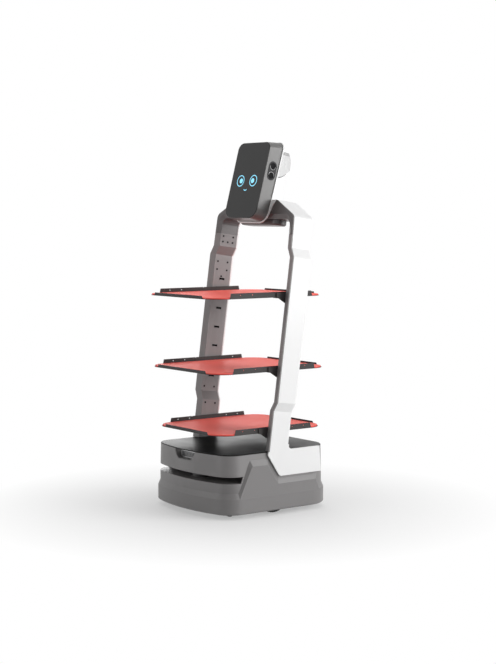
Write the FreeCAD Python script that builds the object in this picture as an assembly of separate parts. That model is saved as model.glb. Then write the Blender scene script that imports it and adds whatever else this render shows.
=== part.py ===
"""Indoor delivery robot: a wheeled base with a laser slot, an arch of two leaning legs,
three open trays hung between the legs, and a tablet head on a neck.

Millimetres. +Z is up, the robot's front faces -Y and its left side is at +X.
The origin is on the floor, in the middle of the robot's footprint.
"""
import FreeCAD, Part
import math
import os

Vec = FreeCAD.Vector

# ---------------------------------------------------------------- driving sizes
# Base, all heights above the floor
base_y = 8.0               # middle of the base, behind the middle of the footprint
base_width = 496.0         # over the lower shell
base_depth = 545.0
front_bow = 44.0           # how far the front bulges between its corners
corner_front = 75.0
corner_rear = 105.0
ground_gap = 18.0          # underside of the lower shell
shoulder_low = 77.0        # the lower shell starts to draw in
shoulder_high = 98.0       # and ends
shoulder_inset = 9.0
waist_height = 134.0       # the lower shell ends and the upper one starts
rim_height = 242.0         # top of the top cover
rim_inset = 2.5            # draw of the upper shell's sides
shell_wall = 4.0
bottom_chamfer = 5.0
cover_thick = 4.0
seam = 0.3                 # between pieces that seat on one another

# Laser slot round the front of the base
slot_height = 25.0
slot_depth = 178.5         # its rear wall, behind the front of the base
slot_run = 111.5           # how far it runs back along each side
slot_slant = 10.0
slot_plate = 3.5

# Side panels beside the feet
panel_nose = 76.5          # from the front of the base to the toe of the panel
panel_lean = 57.0          # its front edge leans back this much
panel_tail = 56.5          # from its end to the rear of the base
panel_top_drop = 21.0      # below the top of the base
panel_edge = 27.0          # width of the sloping edge band
panel_gap = 1.2            # across the groove between the panel and the foot

# Laser scanner
laser_setback = 87.5       # behind the front of the base
laser_radius = 35.0
laser_rotor_radius = 32.0
laser_body_height = 38.0
laser_spindle_radius = 5.0
rotor_gap = 0.5
run_fit = 0.05             # radial clearance of every running fit

# Depth camera in the front rim
camera_width = 90.0
camera_height = 25.0
camera_deep = 22.0
pocket_top_half = 77.0
pocket_low_half = 46.0
pocket_height = 34.0
pocket_deep = 21.0
pocket_wall = 2.0
pocket_corner = 8.0
pocket_flare = 3.0

# Chassis, drive wheels and casters
plate_thick = 4.0
plate_inset = 13.0
ledge_reach = 8.0          # the lower shell's ledge under the plate
ledge_thick = 3.7
post_radius = 6.0          # posts between the plate and the deck
post_x = 100.0
post_setback = 49.0
wheel_radius = 75.0
wheel_width = 34.0
wheel_set = 58.0           # middle of each drive wheel inside the base's side
wheel_back = 12.0          # axle behind the middle of the base
rim_radius = 55.0
wheel_shaft_radius = 8.0
well_gap = 6.0             # round the drive wheels
motor_radius = 31.0
motor_length = 92.0
motor_gap = 5.0            # between the motor and its wheel
nut_gap = 0.6              # between the hub and its nut
caster_set = 82.0          # casters inside the base's side, and from its ends
caster_front_set = 86.5
caster_rear_set = 94.5
caster_radius = 24.0
caster_width = 18.0
caster_trail = 16.0
caster_pin_radius = 3.0
caster_stem_radius = 5.0
caster_crown_gap = 4.0     # above the wheel
fork_plate = 3.0
fork_gap = 0.7
fork_crown_radius = 17.0
fork_crown = 3.7
caster_boss_radius = 13.0
caster_boss_height = 22.0
battery_gap = 3.0          # beside the caster bosses
battery_deep = 150.0
battery_high = 105.0
battery_setback = 38.5     # from the rear of the base
computer_width = 210.0
computer_deep = 84.0
computer_high = 30.0
computer_gap = 16.0        # in front of the motor cradles
cradle_half = 40.0

# Rear of the base
charge_z = 57.0
charge_width = 110.0
charge_height = 30.0
charge_strip = 9.0
charge_lip = 5.0
power_z = 190.0
power_radius = 10.0
power_travel = 2.5
power_flange = 3.0
button_flange_thick = 2.0

# Legs: a lean, then sizes in the leaning frame (x across, v from the front, w up the leg)
lean = 7.8                 # degrees, backwards
leg_setback = 81.3         # front of the legs, at the floor, ahead of the middle of the base
foot_setback = 2.1         # outside of the feet inside the widest part of the base
leg_thick = 28.9           # across, with the outer cover
leg_bevel = 8.0            # the front face falls back towards the inside
leg_depth = 88.0           # of the dark frame
leg_cover = 5.0            # thickness of the white outer cover
cover_depth = 94.0
cover_round = 9.0
front_flange = 5.0
jog = 18.4                 # the legs are this much closer together below and above
jog_low = 398.0
jog_high = 978.0
jog_rise = 34.0
upper_draw = 4.5           # the upper run draws in this much towards the top
root_width = 14.0          # the tongue of the leg inside the base
root_front = 14.0
root_rear = 10.0
root_gap = 1.4

# Arch top, heights above the upper jog
split_up = 84.0            # joint between the legs and the top beam
shoulder_up = 156.0        # outer corner, before rounding
shoulder_round = 26.0
roof_rise = 59.6           # from the shoulder to the flat top
roof_half = 129.0
ceiling_drop = 13.0        # below the shoulder
ceiling_round = 24.0
roof_skin = 5.0
pod_width = 240.0          # housing under the beam
pod_depth = 66.0
pod_drop = 22.0
pod_round = 30.0
pod_edge = 5.0

# Feet of the outer covers, in the side view, from the top and the rear of the base
foot_drop = 96.0
foot_rise = 2.0
foot_tail = 66.5
foot_tail_lean = 8.0
foot_nose_drop = 13.0
foot_toe = 2.0             # lower end of the slope behind the middle of the base
foot_toe_rise = 5.0
foot_toe_run = 8.0
foot_web = 18.0            # height of the curve between the foot and the leg

# Shelf slots in the legs, heights of their middles, and screws
shelf_slots = (483.0, 537.7, 603.0, 677.0, 752.0, 815.0, 868.0)
low_slot = 307.1
slot_long = 22.0
slot_tall = 5.0
slot_deep = 11.0
slot_v = 50.0
screw_radius = 3.3
screw_sink = 2.0
screw_head = 1.2
screw_v = (21.0, 45.0, 69.0)

# Trays
tray_side_gap = 4.9        # tray edge to leg
tray_depth = 532.0
low_tray_depth = 509.0
tray_round = 72.0
tray_steel = 1.5
mat_thick = 4.5
mat_gap = 1.2              # mat edge to the lips
mat_round = 1.2
side_lip = 15.1            # above the mat
end_lip = 6.1
lip_slant = 5.0
lip_hole_radius = 2.0
lip_holes = (90.0, 145.0)  # from the middle of the tray
hook_top_gap = 0.8
hook_drop = 8.4            # shelf slot below the top of the mat
tray_back = (-22.0, -8.0, 1.6)  # middles of the top, middle and bottom tray behind the base's
bracket_plate = 3.0
bracket_reach = 42.0       # in front of the leg
bracket_tail = 8.0
bracket_drop = 25.0
bracket_ledge = 34.0

# Head, in its own leaning frame (x across, v backwards, w up)
head_lean = 15.0
head_ahead = 82.1          # lower edge of the glass ahead of the roof's front edge
head_below = 66.6          # and below it
head_half = 100.0
head_low = -3.5
head_top = 296.5
head_round_low = 42.0
head_round_top = 30.0
glass_thick = 2.5
glass_inset = 1.2
glass_seat = 8.0
head_deep = 55.0           # back of the grey housing, at its lower end
head_taper = 0.0267        # and deeper by this much of the height above it
head_rise = 14.0           # its top climbs this much towards the back
head_wall = 3.0
back_thick = 4.0
back_lip = 1.2             # the back cover stands out past the housing
display_thick = 5.0
display_margin = 12.0
board_width = 120.0
board_height = 150.0
board_low = 70.0
board_gap = 12.0
speaker_w = 190.0          # height of the speaker trim on the head
speaker_v = 32.8
speaker_length = 73.0
speaker_width = 38.0
speaker_stand = 0.8
speaker_sink = 1.5
grille_radius = 14.0
grille_ring = 1.6
grille_sink = 1.0

# Neck and rear module, from the lower edge of the glass
module_half = 60.0
module_round = 18.0
module_gap = 2.5           # the groove between them
seam_up = 146.0
seam_sweep = ((144.5, 4.0), (161.5, 7.0), (181.5, 17.0), (198.5, 28.5), (207.5, 34.0))
neck_back = 188.4
neck_bend_up = 142.5
neck_top_up = 167.0
module_back = 213.4
module_low_up = 189.0
module_bulge = 2.0
module_lid_up = 230.0
lid_slope = 0.2
cap_height = 12.0
cap_inset = 1.0

# ---------------------------------------------------------------- places that follow from them
base_front = base_y - base_depth / 2
base_rear = base_y + base_depth / 2
plate_low = 2 * caster_radius + caster_crown_gap + fork_crown + seam
slot_back = base_front + slot_depth
slot_end = base_front + slot_run
laser_y = base_front + laser_setback
wheel_y = base_y + wheel_back
wheel_x = base_width / 2 - wheel_set
caster_x = base_width / 2 - caster_set
caster_front_y = base_front + caster_front_set
caster_rear_y = base_rear - caster_rear_set
leg_front = base_y - leg_setback
leg_low_outer = base_width / 2 - foot_setback
leg_outer = leg_low_outer + jog
leg_inner = leg_outer - leg_thick
split_w = jog_high + split_up
shoulder_w = jog_high + shoulder_up
roof_w = shoulder_w + roof_rise
ceiling_w = shoulder_w - ceiling_drop


# ---------------------------------------------------------------- helpers
def wire(points):
    return Part.makePolygon([Vec(*p) for p in points] + [Vec(*points[0])])


def prism(points, direction):
    return Part.Face(wire(points)).extrude(Vec(*direction))


def side(points, x0, x1):
    """Prism from a side view outline of (y, z) points."""
    return prism([(x0, y, z) for y, z in points], (x1 - x0, 0, 0))


def front(points, y0, y1):
    """Prism from a front view outline of (x, z) points."""
    return prism([(x, y0, z) for x, z in points], (0, y1 - y0, 0))


def block(x0, x1, y0, y1, z0, z1):
    return Part.makeBox(x1 - x0, y1 - y0, z1 - z0, Vec(x0, y0, z0))


def disc(radius, height, x, y, z, axis=(0, 0, 1)):
    return Part.makeCylinder(radius, height, Vec(x, y, z), Vec(*axis))


def loft(sections):
    return Part.makeLoft([wire(s) for s in sections], True, True)


def mirror(shape):
    return shape.mirror(Vec(0, 0, 0), Vec(1, 0, 0))


def join(shapes):
    first = shapes[0]
    if len(shapes) > 1:
        first = first.fuse(shapes[1:])
    return first.removeSplitter()


def rounded(w, d, r):
    """Points and arcs of a rounded rectangle centred on the origin, as a wire at z = 0."""
    a, b = w / 2, d / 2
    k = r * (1 - math.sqrt(0.5))
    edges = []
    corners = ((a, b, -1, -1), (-a, b, 1, -1), (-a, -b, 1, 1), (a, -b, -1, 1))
    ends = []
    for i, (x, y, sx, sy) in enumerate(corners):
        p_side = Vec(x, y + sy * r, 0)
        p_end = Vec(x + sx * r, y, 0)
        mid = Vec(x + sx * k, y + sy * k, 0)
        start, stop = (p_side, p_end) if i % 2 == 0 else (p_end, p_side)
        edges.append(Part.Arc(start, mid, stop).toShape())
        ends.append((start, stop))
    lines = []
    for i in range(4):
        lines.append(Part.LineSegment(ends[i][1], ends[(i + 1) % 4][0]).toShape())
    ring = []
    for i in range(4):
        ring += [edges[i], lines[i]]
    return Part.Wire(ring)


def rounded_plate(w, d, r, z0, z1, y=0.0, x=0.0):
    plate = Part.Face(rounded(w, d, r)).extrude(Vec(0, 0, z1 - z0))
    plate.translate(Vec(x, y, z0))
    return plate


def plan(inset, z):
    """Outline of the base seen from above, drawn in by inset, at height z."""
    a = base_width / 2 - inset
    half = base_depth / 2 - inset
    rf = corner_front - inset
    rr = corner_rear - inset
    bow = front_bow * a * a / (base_width / 2) ** 2
    big = (a * a + bow * bow) / (2 * bow)
    centre = -half + big
    cx = a - rf
    cy = centre - math.sqrt((big - rf) ** 2 - cx * cx)
    tx = cx * big / (big - rf)
    ty = centre + (cy - centre) * big / (big - rf)
    turn = (math.atan2(ty - cy, tx - cx)) / 2

    def at(x, y):
        return Vec(x, y + base_y, z)

    k = math.sqrt(0.5)
    right_mid = at(cx + rf * math.cos(turn), cy + rf * math.sin(turn))
    left_mid = at(-cx - rf * math.cos(turn), cy + rf * math.sin(turn))
    edges = [
        Part.Arc(at(-tx, ty), at(0, -half), at(tx, ty)).toShape(),
        Part.Arc(at(tx, ty), right_mid, at(a, cy)).toShape(),
        Part.LineSegment(at(a, cy), at(a, half - rr)).toShape(),
        Part.Arc(at(a, half - rr), at(a - rr + rr * k, half - rr + rr * k), at(a - rr, half)).toShape(),
        Part.LineSegment(at(a - rr, half), at(rr - a, half)).toShape(),
        Part.Arc(at(rr - a, half), at(rr - a - rr * k, half - rr + rr * k), at(-a, half - rr)).toShape(),
        Part.LineSegment(at(-a, half - rr), at(-a, cy)).toShape(),
        Part.Arc(at(-a, cy), left_mid, at(-tx, ty)).toShape(),
    ]
    return Part.Wire(edges)


def stack(levels):
    """Solid through the base outline at several (inset, height) levels."""
    return Part.makeLoft([plan(i, z) for i, z in levels], True, True)


# ---------------------------------------------------------------- leaning frames
lean_sin = math.sin(math.radians(lean))
lean_cos = math.cos(math.radians(lean))
head_y = leg_front + roof_w * lean_sin - head_ahead
head_z = roof_w * lean_cos - head_below
head_sin = math.sin(math.radians(head_lean))
head_cos = math.cos(math.radians(head_lean))


def leg_place(shape):
    """From the leaning frame of the legs to the robot's frame."""
    shape = shape.copy()
    shape.rotate(Vec(0, 0, 0), Vec(1, 0, 0), -lean)
    shape.translate(Vec(0, leg_front, 0))
    return shape


def leg_local(y, z):
    """(v, w) in the leaning frame of the legs, from (y, z)."""
    return ((y - leg_front) * lean_cos - z * lean_sin, (y - leg_front) * lean_sin + z * lean_cos)


def leg_line(v, z):
    """y of the line at depth v of the leaning legs, at height z."""
    return leg_front + (v + z * lean_sin) / lean_cos


def head_place(shape):
    shape = shape.copy()
    shape.rotate(Vec(0, 0, 0), Vec(1, 0, 0), -head_lean)
    shape.translate(Vec(0, head_y, head_z))
    return shape


def head_wedge(v):
    """Slope of the head's cross plane at depth v: the head is deeper at its top."""
    return head_taper * max(0, v - glass_thick) / (head_deep - glass_thick)


def head_back_y(z, v):
    """y of the head's cross plane of depth v, at height z."""
    g = head_wedge(v)
    w = (z - head_z + (v - g * head_low) * head_sin) / (head_cos - g * head_sin)
    return head_y + (v + g * (w - head_low)) * head_cos + w * head_sin


parts = {}

# ---------------------------------------------------------------- derived base sizes
rim_low = rim_height - cover_thick
slot_top = waist_height + slot_height
plate_high = plate_low + plate_thick
wheel_in = wheel_x - wheel_width / 2 - well_gap
wheel_out = wheel_x + wheel_width / 2 + well_gap
side_low = base_width / 2 - shoulder_inset        # half width of the waist
caster_spots = ((1, caster_front_y), (-1, caster_front_y), (1, caster_rear_y), (-1, caster_rear_y))

low_outer = [(bottom_chamfer, ground_gap), (0, ground_gap + bottom_chamfer), (0, shoulder_low),
             (shoulder_inset, shoulder_high), (shoulder_inset, waist_height)]
high_outer = [(shoulder_inset, waist_height), (shoulder_inset + rim_inset, rim_low)]


def grown(levels, by):
    return [(i + by, z) for i, z in levels]


# ---------------------------------------------------------------- lower shell
deck_low = waist_height - slot_plate
waist_in = shoulder_inset + shell_wall
inner_levels = [(bottom_chamfer + shell_wall, ground_gap - 1),
                (shell_wall, ground_gap + bottom_chamfer + shell_wall),
                (shell_wall, shoulder_low), (waist_in, shoulder_high), (waist_in, deck_low)]
lower = stack(low_outer).cut(stack(inner_levels))
behind = block(-base_width, base_width, slot_back + shell_wall, base_rear + base_depth, deck_low - 1,
               waist_height + 1)
lower = lower.cut(behind.common(stack([(waist_in, deck_low - 1), (waist_in, waist_height + 1)])))
ledge_high = plate_low - seam
ledge = stack([(shell_wall / 2, ledge_high - ledge_thick), (shell_wall / 2, ledge_high)])
ledge = ledge.cut(stack([(plate_inset + ledge_reach, ledge_high - ledge_thick - 1),
                         (plate_inset + ledge_reach, ledge_high + 1)]))
contact_low = charge_z - charge_height / 2
ledge = ledge.cut(block(-charge_width / 2 - charge_lip - 6, charge_width / 2 + charge_lip + 6, base_y,
                        base_rear - shell_wall, 0, waist_height))
post_y = base_front + post_setback
posts = [disc(post_radius, deck_low + 1 - plate_high - seam, s * post_x, post_y, plate_high + seam)
         for s in (1, -1)]
lower = join([lower, ledge] + posts)
lower = lower.cut(disc(laser_radius + 1.0, 20, 0, laser_y, deck_low - 5))
lower = lower.cut(block(-charge_width / 2, charge_width / 2, base_rear - shell_wall - 8, base_rear + 1,
                        contact_low, contact_low + charge_height))
parts["lower_shell"] = lower

# charging block and its two strips
wall_in = base_rear - shell_wall
block_deep = 8.0
charge = block(-charge_width / 2 + seam, charge_width / 2 - seam, wall_in - block_deep, base_rear - 2.5,
               contact_low + seam, contact_low + charge_height - seam)
flange_half = charge_width / 2 + charge_lip
flange = block(-flange_half, flange_half, wall_in - block_deep, wall_in - seam, contact_low - charge_lip,
               contact_low + charge_height + charge_lip)
strips = []
for s in (1, -1):
    zc = charge_z + s * charge_height / 4
    strips.append(block(-charge_width / 2 + 10, charge_width / 2 - 10, base_rear - 5.5, base_rear - 1.0,
                        zc - charge_strip / 2, zc + charge_strip / 2))
charge = join([charge, flange])
for strip in strips:
    charge = charge.cut(strip)
parts["charge_block"] = charge
parts["charge_contacts"] = Part.makeCompound(strips)

# ---------------------------------------------------------------- upper shell with the laser slot
inset_in = shoulder_inset + shell_wall
upper = stack(high_outer).cut(stack([(inset_in, waist_height - 1), (inset_in + rim_inset, rim_low + 1)]))
far = base_front - base_depth
slot_outline = [(far, waist_height - 1), (slot_end - slot_slant, waist_height - 1), (slot_end, slot_top),
                (far, slot_top)]
upper = upper.cut(side(slot_outline, -base_width, base_width))
overlap = 0.5
inside = stack([(inset_in - overlap, waist_height),
                (inset_in - overlap + rim_inset * 0.4, slot_top + slot_plate)])
ceiling = block(-base_width, base_width, far, slot_back, slot_top, slot_top + slot_plate).common(inside)
rear_wall = block(-base_width, base_width, slot_back - slot_plate, slot_back, waist_height,
                  slot_top + slot_plate).common(inside)
upper = join([upper, ceiling, rear_wall])

# pocket of the depth camera in the front rim
pocket_low_z = rim_low - pocket_height
front_y = base_front + shoulder_inset
pocket_back_y = front_y + rim_inset + pocket_deep


def pocket_outline(top_half, low_half, low_z, high_z, y):
    c = pocket_corner
    out = low_half + pocket_flare
    return [(-top_half, y, high_z), (-out, y, low_z + c), (-low_half + c, y, low_z),
            (low_half - c, y, low_z), (out, y, low_z + c), (top_half, y, high_z)]


def pocket(by, y0, y1):
    first = pocket_outline(pocket_top_half + by, pocket_low_half + by, pocket_low_z - by, rim_low, y0)
    back_half = camera_width / 2 + pocket_corner / 2
    last = pocket_outline(back_half + by + 2, back_half + by, pocket_low_z - by + 1, rim_low, y1)
    return loft([first, last])


pocket_front_y = front_y - 6
pocket_outer = pocket(pocket_wall, pocket_front_y, pocket_back_y + pocket_wall)
pocket_hollow = pocket(0, pocket_front_y - 0.5, pocket_back_y)
upper = upper.cut(pocket(pocket_wall + seam, pocket_front_y, pocket_back_y + pocket_wall + seam))
shell_face = stack([(shoulder_inset + 0.4, waist_height), (shoulder_inset + 0.4 + rim_inset, rim_low - seam)])
pocket_part = pocket_outer.cut(pocket_hollow).common(shell_face)
cam_z = pocket_low_z + pocket_height / 2


def window(by, y0, y1):
    return block(-camera_width / 2 - by, camera_width / 2 + by, y0, y1, cam_z - camera_height / 2 - by,
                 cam_z + camera_height / 2 + by)


window_frame = 2.2
pocket_part = join([pocket_part, window(window_frame, pocket_back_y - 1.2, pocket_back_y + 0.5)])
pocket_part = pocket_part.cut(window(seam, pocket_back_y - 2, pocket_back_y + pocket_wall + 1))
parts["camera_pocket"] = pocket_part
camera = window(0, pocket_back_y - 0.6, pocket_back_y - 0.6 + camera_deep)
camera_flange = window(4, pocket_back_y + pocket_wall + seam, pocket_back_y + pocket_wall + 3)
parts["front_camera"] = join([camera, camera_flange])

# leg tongues pass down inside the side walls
root_out = side_low - rim_inset - shell_wall - root_gap
root_in = root_out - root_width


def leg_root(by, z0, z1):
    v0 = root_front - by
    v1 = leg_depth - root_rear + by
    pts = [(leg_line(v0, z0), z0), (leg_line(v1, z0), z0), (leg_line(v1, z1), z1), (leg_line(v0, z1), z1)]
    return side(pts, root_in - by, root_out + by)


# power button in the rear wall, held by its flange
rear_at_power = base_rear - shoulder_inset - rim_inset * (power_z - waist_height) / (rim_low - waist_height)
upper = upper.cut(disc(power_radius + run_fit, 40, 0, rear_at_power - 30, power_z, (0, 1, 0)))
parts["upper_shell"] = upper
button_back = rear_at_power - shell_wall - 1.0 - button_flange_thick
button_front = rear_at_power + power_travel + 0.5
button = disc(power_radius, button_front - button_back, 0, button_back, power_z, (0, 1, 0))
rim_edge = [e for e in button.Edges if len(e.Vertexes) == 1 and e.CenterOfMass.y > button_front - 0.1]
button = button.makeChamfer(0.8, rim_edge)
flange = disc(power_radius + power_flange, button_flange_thick, 0, button_back, power_z, (0, 1, 0))
parts["power_button"] = join([button, flange])

# ---------------------------------------------------------------- top cover
cover_inset = shoulder_inset + rim_inset
cover_edge = 1.6
cover = stack([(cover_inset, rim_low), (cover_inset + 0.2, rim_height - cover_edge),
               (cover_inset + cover_edge, rim_height)])
for s in (1, -1):
    hole = leg_root(1.0, rim_low - 5, rim_height + 5)
    cover = cover.cut(hole if s > 0 else mirror(hole))
parts["top_cover"] = cover

# ---------------------------------------------------------------- side panels
foot_low = rim_height - foot_drop
foot_high = rim_height + foot_rise
foot_rear = base_rear - foot_tail
foot_nose_z = rim_height - foot_nose_drop
foot_toe_y = base_y + foot_toe
foot_front = leg_line(0, foot_nose_z)
toe_top = foot_low + foot_toe_rise
panel_top = rim_height - panel_top_drop


def panel_side(x0, x1):
    edge = panel_edge
    run = (foot_toe_y - foot_front) / (foot_nose_z - toe_top)
    slide = panel_gap * math.hypot(1, run)
    low = shoulder_low + 0.5
    floor_z = foot_low - panel_gap
    nose = base_front + panel_nose
    shoulder = nose + panel_lean
    tail = base_rear - panel_tail

    def groove(z, away):
        """y on the line beside the slope of the foot, at height z."""
        return foot_front + (foot_nose_z - z) * run - slide - away

    outer = [(nose, low), (shoulder, panel_top - 15), (shoulder + 8, panel_top),
             (groove(panel_top, 0), panel_top), (groove(floor_z, 0), floor_z), (tail - 20, floor_z), (tail, low)]
    inner = [(nose + 13, low), (shoulder + 9, panel_top - edge - 7), (shoulder + 16, panel_top - edge),
             (groove(panel_top - edge, edge), panel_top - edge),
             (groove(floor_z - edge, edge), floor_z - edge),
             (tail - 38, floor_z - edge), (tail - 20, low)]
    return loft([[(x0, y, z) for y, z in outer], [(x1, y, z) for y, z in inner]])


panel = panel_side(side_low - 4.0, base_width / 2)
keep_out = stack(grown(low_outer, -seam))
keep_high = stack(grown(high_outer, -seam))
panel = panel.cut(keep_out).cut(keep_high)
panel = sorted(panel.Solids, key=lambda s: -s.Volume)[0]
parts["side_panel_left"] = panel
parts["side_panel_right"] = mirror(panel)

# ---------------------------------------------------------------- laser scanner
rotor_low = waist_height + 5.0
laser_top = rotor_low - rotor_gap
body = disc(laser_radius, laser_body_height, 0, laser_y, laser_top - laser_body_height)
body = join([body, disc(laser_radius + 8, 4, 0, laser_y, deck_low - 4 - seam)])
spindle_long = 25.0
spindle_low = rotor_low - spindle_long
body = body.cut(disc(laser_spindle_radius + run_fit, spindle_long + 5, 0, laser_y, spindle_low - 1))
parts["laser_body"] = body
rotor = disc(laser_rotor_radius, slot_height - 8.0, 0, laser_y, rotor_low)
rim = [e for e in rotor.Edges if len(e.Vertexes) == 1 and e.CenterOfMass.z > rotor_low + 10]
rotor = rotor.makeChamfer(1.5, rim)
spindle = disc(laser_spindle_radius, spindle_long, 0, laser_y, spindle_low)
window_cut = block(-laser_rotor_radius, laser_rotor_radius, laser_y - laser_rotor_radius - 1,
                   laser_y - laser_rotor_radius + 5, rotor_low + 4, rotor_low + 12)
parts["laser_rotor"] = join([rotor, spindle]).cut(window_cut)

# ---------------------------------------------------------------- chassis plate
chassis = stack([(plate_inset, plate_low), (plate_inset, plate_high)])
chord = math.sqrt(wheel_radius ** 2 - (wheel_radius - plate_high) ** 2) + well_gap
for s in (1, -1):
    x0, x1 = sorted((s * wheel_in, s * wheel_out))
    well = block(x0, x1, wheel_y - chord - 4, wheel_y + chord + 4, plate_low - 1, plate_high + 1)
    chassis = chassis.cut(well)
bosses = [disc(caster_boss_radius, caster_boss_height, s * caster_x, y, plate_high) for s, y in caster_spots]
chassis = join([chassis] + bosses)
for s, y in caster_spots:
    chassis = chassis.cut(disc(caster_stem_radius + run_fit, 60, s * caster_x, y, plate_low - 5))
parts["chassis_plate"] = chassis

# ---------------------------------------------------------------- casters
axle_z = caster_radius
crown_top = plate_low - seam
crown_low = crown_top - fork_crown
cheek_in = caster_width / 2 + fork_gap


def caster(x, y):
    """A swivelling fork and its wheel, trailing backwards."""
    ay = y + caster_trail
    crown = disc(fork_crown_radius, fork_crown, x, y, crown_low)
    stem = disc(caster_stem_radius, crown_low + fork_crown + plate_thick + caster_boss_height - crown_low,
                x, y, crown_low)
    pieces = [crown, stem]
    outline = [(y - 12, crown_low), (y + 13, crown_low), (ay + 7, axle_z + 2), (ay + 7, axle_z - 4),
               (ay + 3, axle_z - 8), (ay - 3, axle_z - 8), (ay - 7, axle_z - 4)]
    for s in (1, -1):
        x0, x1 = sorted((x + s * cheek_in, x + s * (cheek_in + fork_plate)))
        cheek = side(outline, x0, x1)
        cheek = join([cheek, side([(y - 12, crown_low + 1), (y + 13, crown_low + 1), (y + 13, crown_low - 1),
                                   (y - 12, crown_low - 1)], x0, x1)])
        pieces.append(cheek)
    reach = cheek_in + fork_plate
    pieces.append(disc(caster_pin_radius, 2 * reach, x - reach, ay, axle_z, (1, 0, 0)))
    fork = join(pieces)
    half = caster_width / 2
    profile = [(caster_pin_radius + run_fit, -half), (caster_radius - 3, -half), (caster_radius, -half + 4),
               (caster_radius, half - 4), (caster_radius - 3, half), (caster_pin_radius + run_fit, half)]
    face = Part.Face(wire([(x + a, ay + r, axle_z) for r, a in profile]))
    wheel = face.revolve(Vec(x, ay, axle_z), Vec(1, 0, 0), 360)
    return fork, wheel


names = {(1, caster_front_y): "front_left", (-1, caster_front_y): "front_right",
         (1, caster_rear_y): "rear_left", (-1, caster_rear_y): "rear_right"}
for s, y in caster_spots:
    fork, wheel = caster(s * caster_x, y)
    parts["caster_fork_" + names[(s, y)]] = fork
    parts["caster_wheel_" + names[(s, y)]] = wheel

# ---------------------------------------------------------------- drive units
half = wheel_width / 2
hub_half = half - 3.0
motor_end = wheel_x - half - motor_gap


def ring(profile, x):
    face = Part.Face(wire([(x + a, wheel_y + r, wheel_radius) for r, a in profile]))
    return face.revolve(Vec(x, wheel_y, wheel_radius), Vec(1, 0, 0), 360)


bore = wheel_shaft_radius + run_fit
dish = 7.0
boss = bore + 9
web = rim_radius - 6
hub = ring([(bore, -hub_half), (rim_radius, -hub_half), (rim_radius, hub_half), (web, hub_half),
            (web, hub_half - dish), (boss, hub_half - dish), (boss, hub_half), (bore, hub_half)], wheel_x)
for i in range(5):
    turn = math.radians(90 + 72 * i)
    r = (boss + web) / 2
    hub = hub.cut(disc(7.5, wheel_width, wheel_x - half, wheel_y + r * math.cos(turn),
                       wheel_radius + r * math.sin(turn), (1, 0, 0)))
bead = half - hub_half
tyre_round = 5.0
tyre = ring([(rim_radius, -hub_half), (rim_radius + bead, -half), (wheel_radius - tyre_round, -half),
             (wheel_radius, -half + tyre_round), (wheel_radius, half - tyre_round),
             (wheel_radius - tyre_round, half), (rim_radius + bead, half), (rim_radius, hub_half)], wheel_x)
motor_start = motor_end - motor_length
cradle_margin = 8.0
cradle_in = motor_start + cradle_margin
cradle_out = motor_end - cradle_margin
motor = disc(motor_radius, motor_length, motor_start, wheel_y, wheel_radius, (1, 0, 0))
shaft_end = wheel_x + hub_half + nut_gap
shaft = disc(wheel_shaft_radius, shaft_end - motor_end + 5, motor_end - 5, wheel_y, wheel_radius, (1, 0, 0))
nut = disc(wheel_shaft_radius + 4, 3, shaft_end, wheel_y, wheel_radius, (1, 0, 0))
saddle = block(cradle_in, cradle_out, wheel_y - 26, wheel_y + 26, plate_high, wheel_radius)
cradle = block(cradle_in, cradle_out, wheel_y - cradle_half, wheel_y + cradle_half, plate_high, plate_high + 6)
hump = disc(motor_radius + 3, cradle_out - cradle_in, cradle_in, wheel_y, wheel_radius, (1, 0, 0))
drop = block(0, base_width, -base_depth, base_depth, -10, plate_high)
motor = join([motor, shaft, nut, saddle, cradle, hump]).cut(drop)
parts["drive_motor_left"] = motor
parts["drive_motor_right"] = mirror(motor)
parts["wheel_hub_left"] = hub
parts["wheel_hub_right"] = mirror(hub)
parts["tyre_left"] = tyre
parts["tyre_right"] = mirror(tyre)

# ---------------------------------------------------------------- battery and computer
bw = 2 * (caster_x - caster_boss_radius - battery_gap)
battery_rear = base_rear - battery_setback
battery_front = battery_rear - battery_deep
battery_top = plate_high + battery_high
cell = rounded_plate(bw, battery_deep, 12, plate_high, battery_top, (battery_front + battery_rear) / 2)
strap_thick = 2.5
strap = block(-14, 14, battery_front - strap_thick, battery_rear + strap_thick, plate_high,
              battery_top + strap_thick)
strap = strap.cut(block(-15, 15, battery_front, battery_rear, plate_high - 1, battery_top))
parts["battery"] = join([cell, strap])
computer_rear = wheel_y - cradle_half - computer_gap
computer_front = computer_rear - computer_deep
half_cw = computer_width / 2
case_top = plate_high + computer_high
case = block(-half_cw, half_cw, computer_front, computer_rear, plate_high, case_top)
fins = []
fin_count = 9
fin_thick = 4.0
fin_high = 6.0
for i in range(fin_count):
    x = -half_cw + 12 + i * (computer_width - 24 - fin_thick) / (fin_count - 1)
    fins.append(block(x, x + fin_thick, computer_front + 4, computer_rear - 4, case_top, case_top + fin_high))
parts["drive_computer"] = join([case] + fins)

# ---------------------------------------------------------------- legs
def run_x(w):
    """Shift towards the middle of both edges of the leg at w."""
    if w <= jog_low:
        return jog
    if w < jog_low + jog_rise:
        return jog * (1 - (w - jog_low) / jog_rise)
    if w <= jog_high:
        return 0.0
    if w < jog_high + jog_rise:
        return jog * (w - jog_high) / jog_rise
    return jog + upper_draw * (w - jog_high - jog_rise) / (shoulder_w - jog_high - jog_rise)


def stations(w0, w1):
    inner = [jog_low, jog_low + jog_rise, jog_high, jog_high + jog_rise]
    return [w0] + [w for w in inner if w0 < w < w1] + [w1]


frame_corner = leg_depth - cover_depth + cover_round + seam * (math.sqrt(2) - 1)


def frame_section(w):
    xi = leg_inner - run_x(w)
    xo = leg_outer - run_x(w)
    xc = xo - leg_cover - seam
    return [(xo, 0, w), (xi, leg_bevel, w), (xi, leg_depth, w), (xc - frame_corner, leg_depth, w),
            (xc, leg_depth - frame_corner, w), (xc, front_flange, w), (xo, front_flange, w)]


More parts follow.
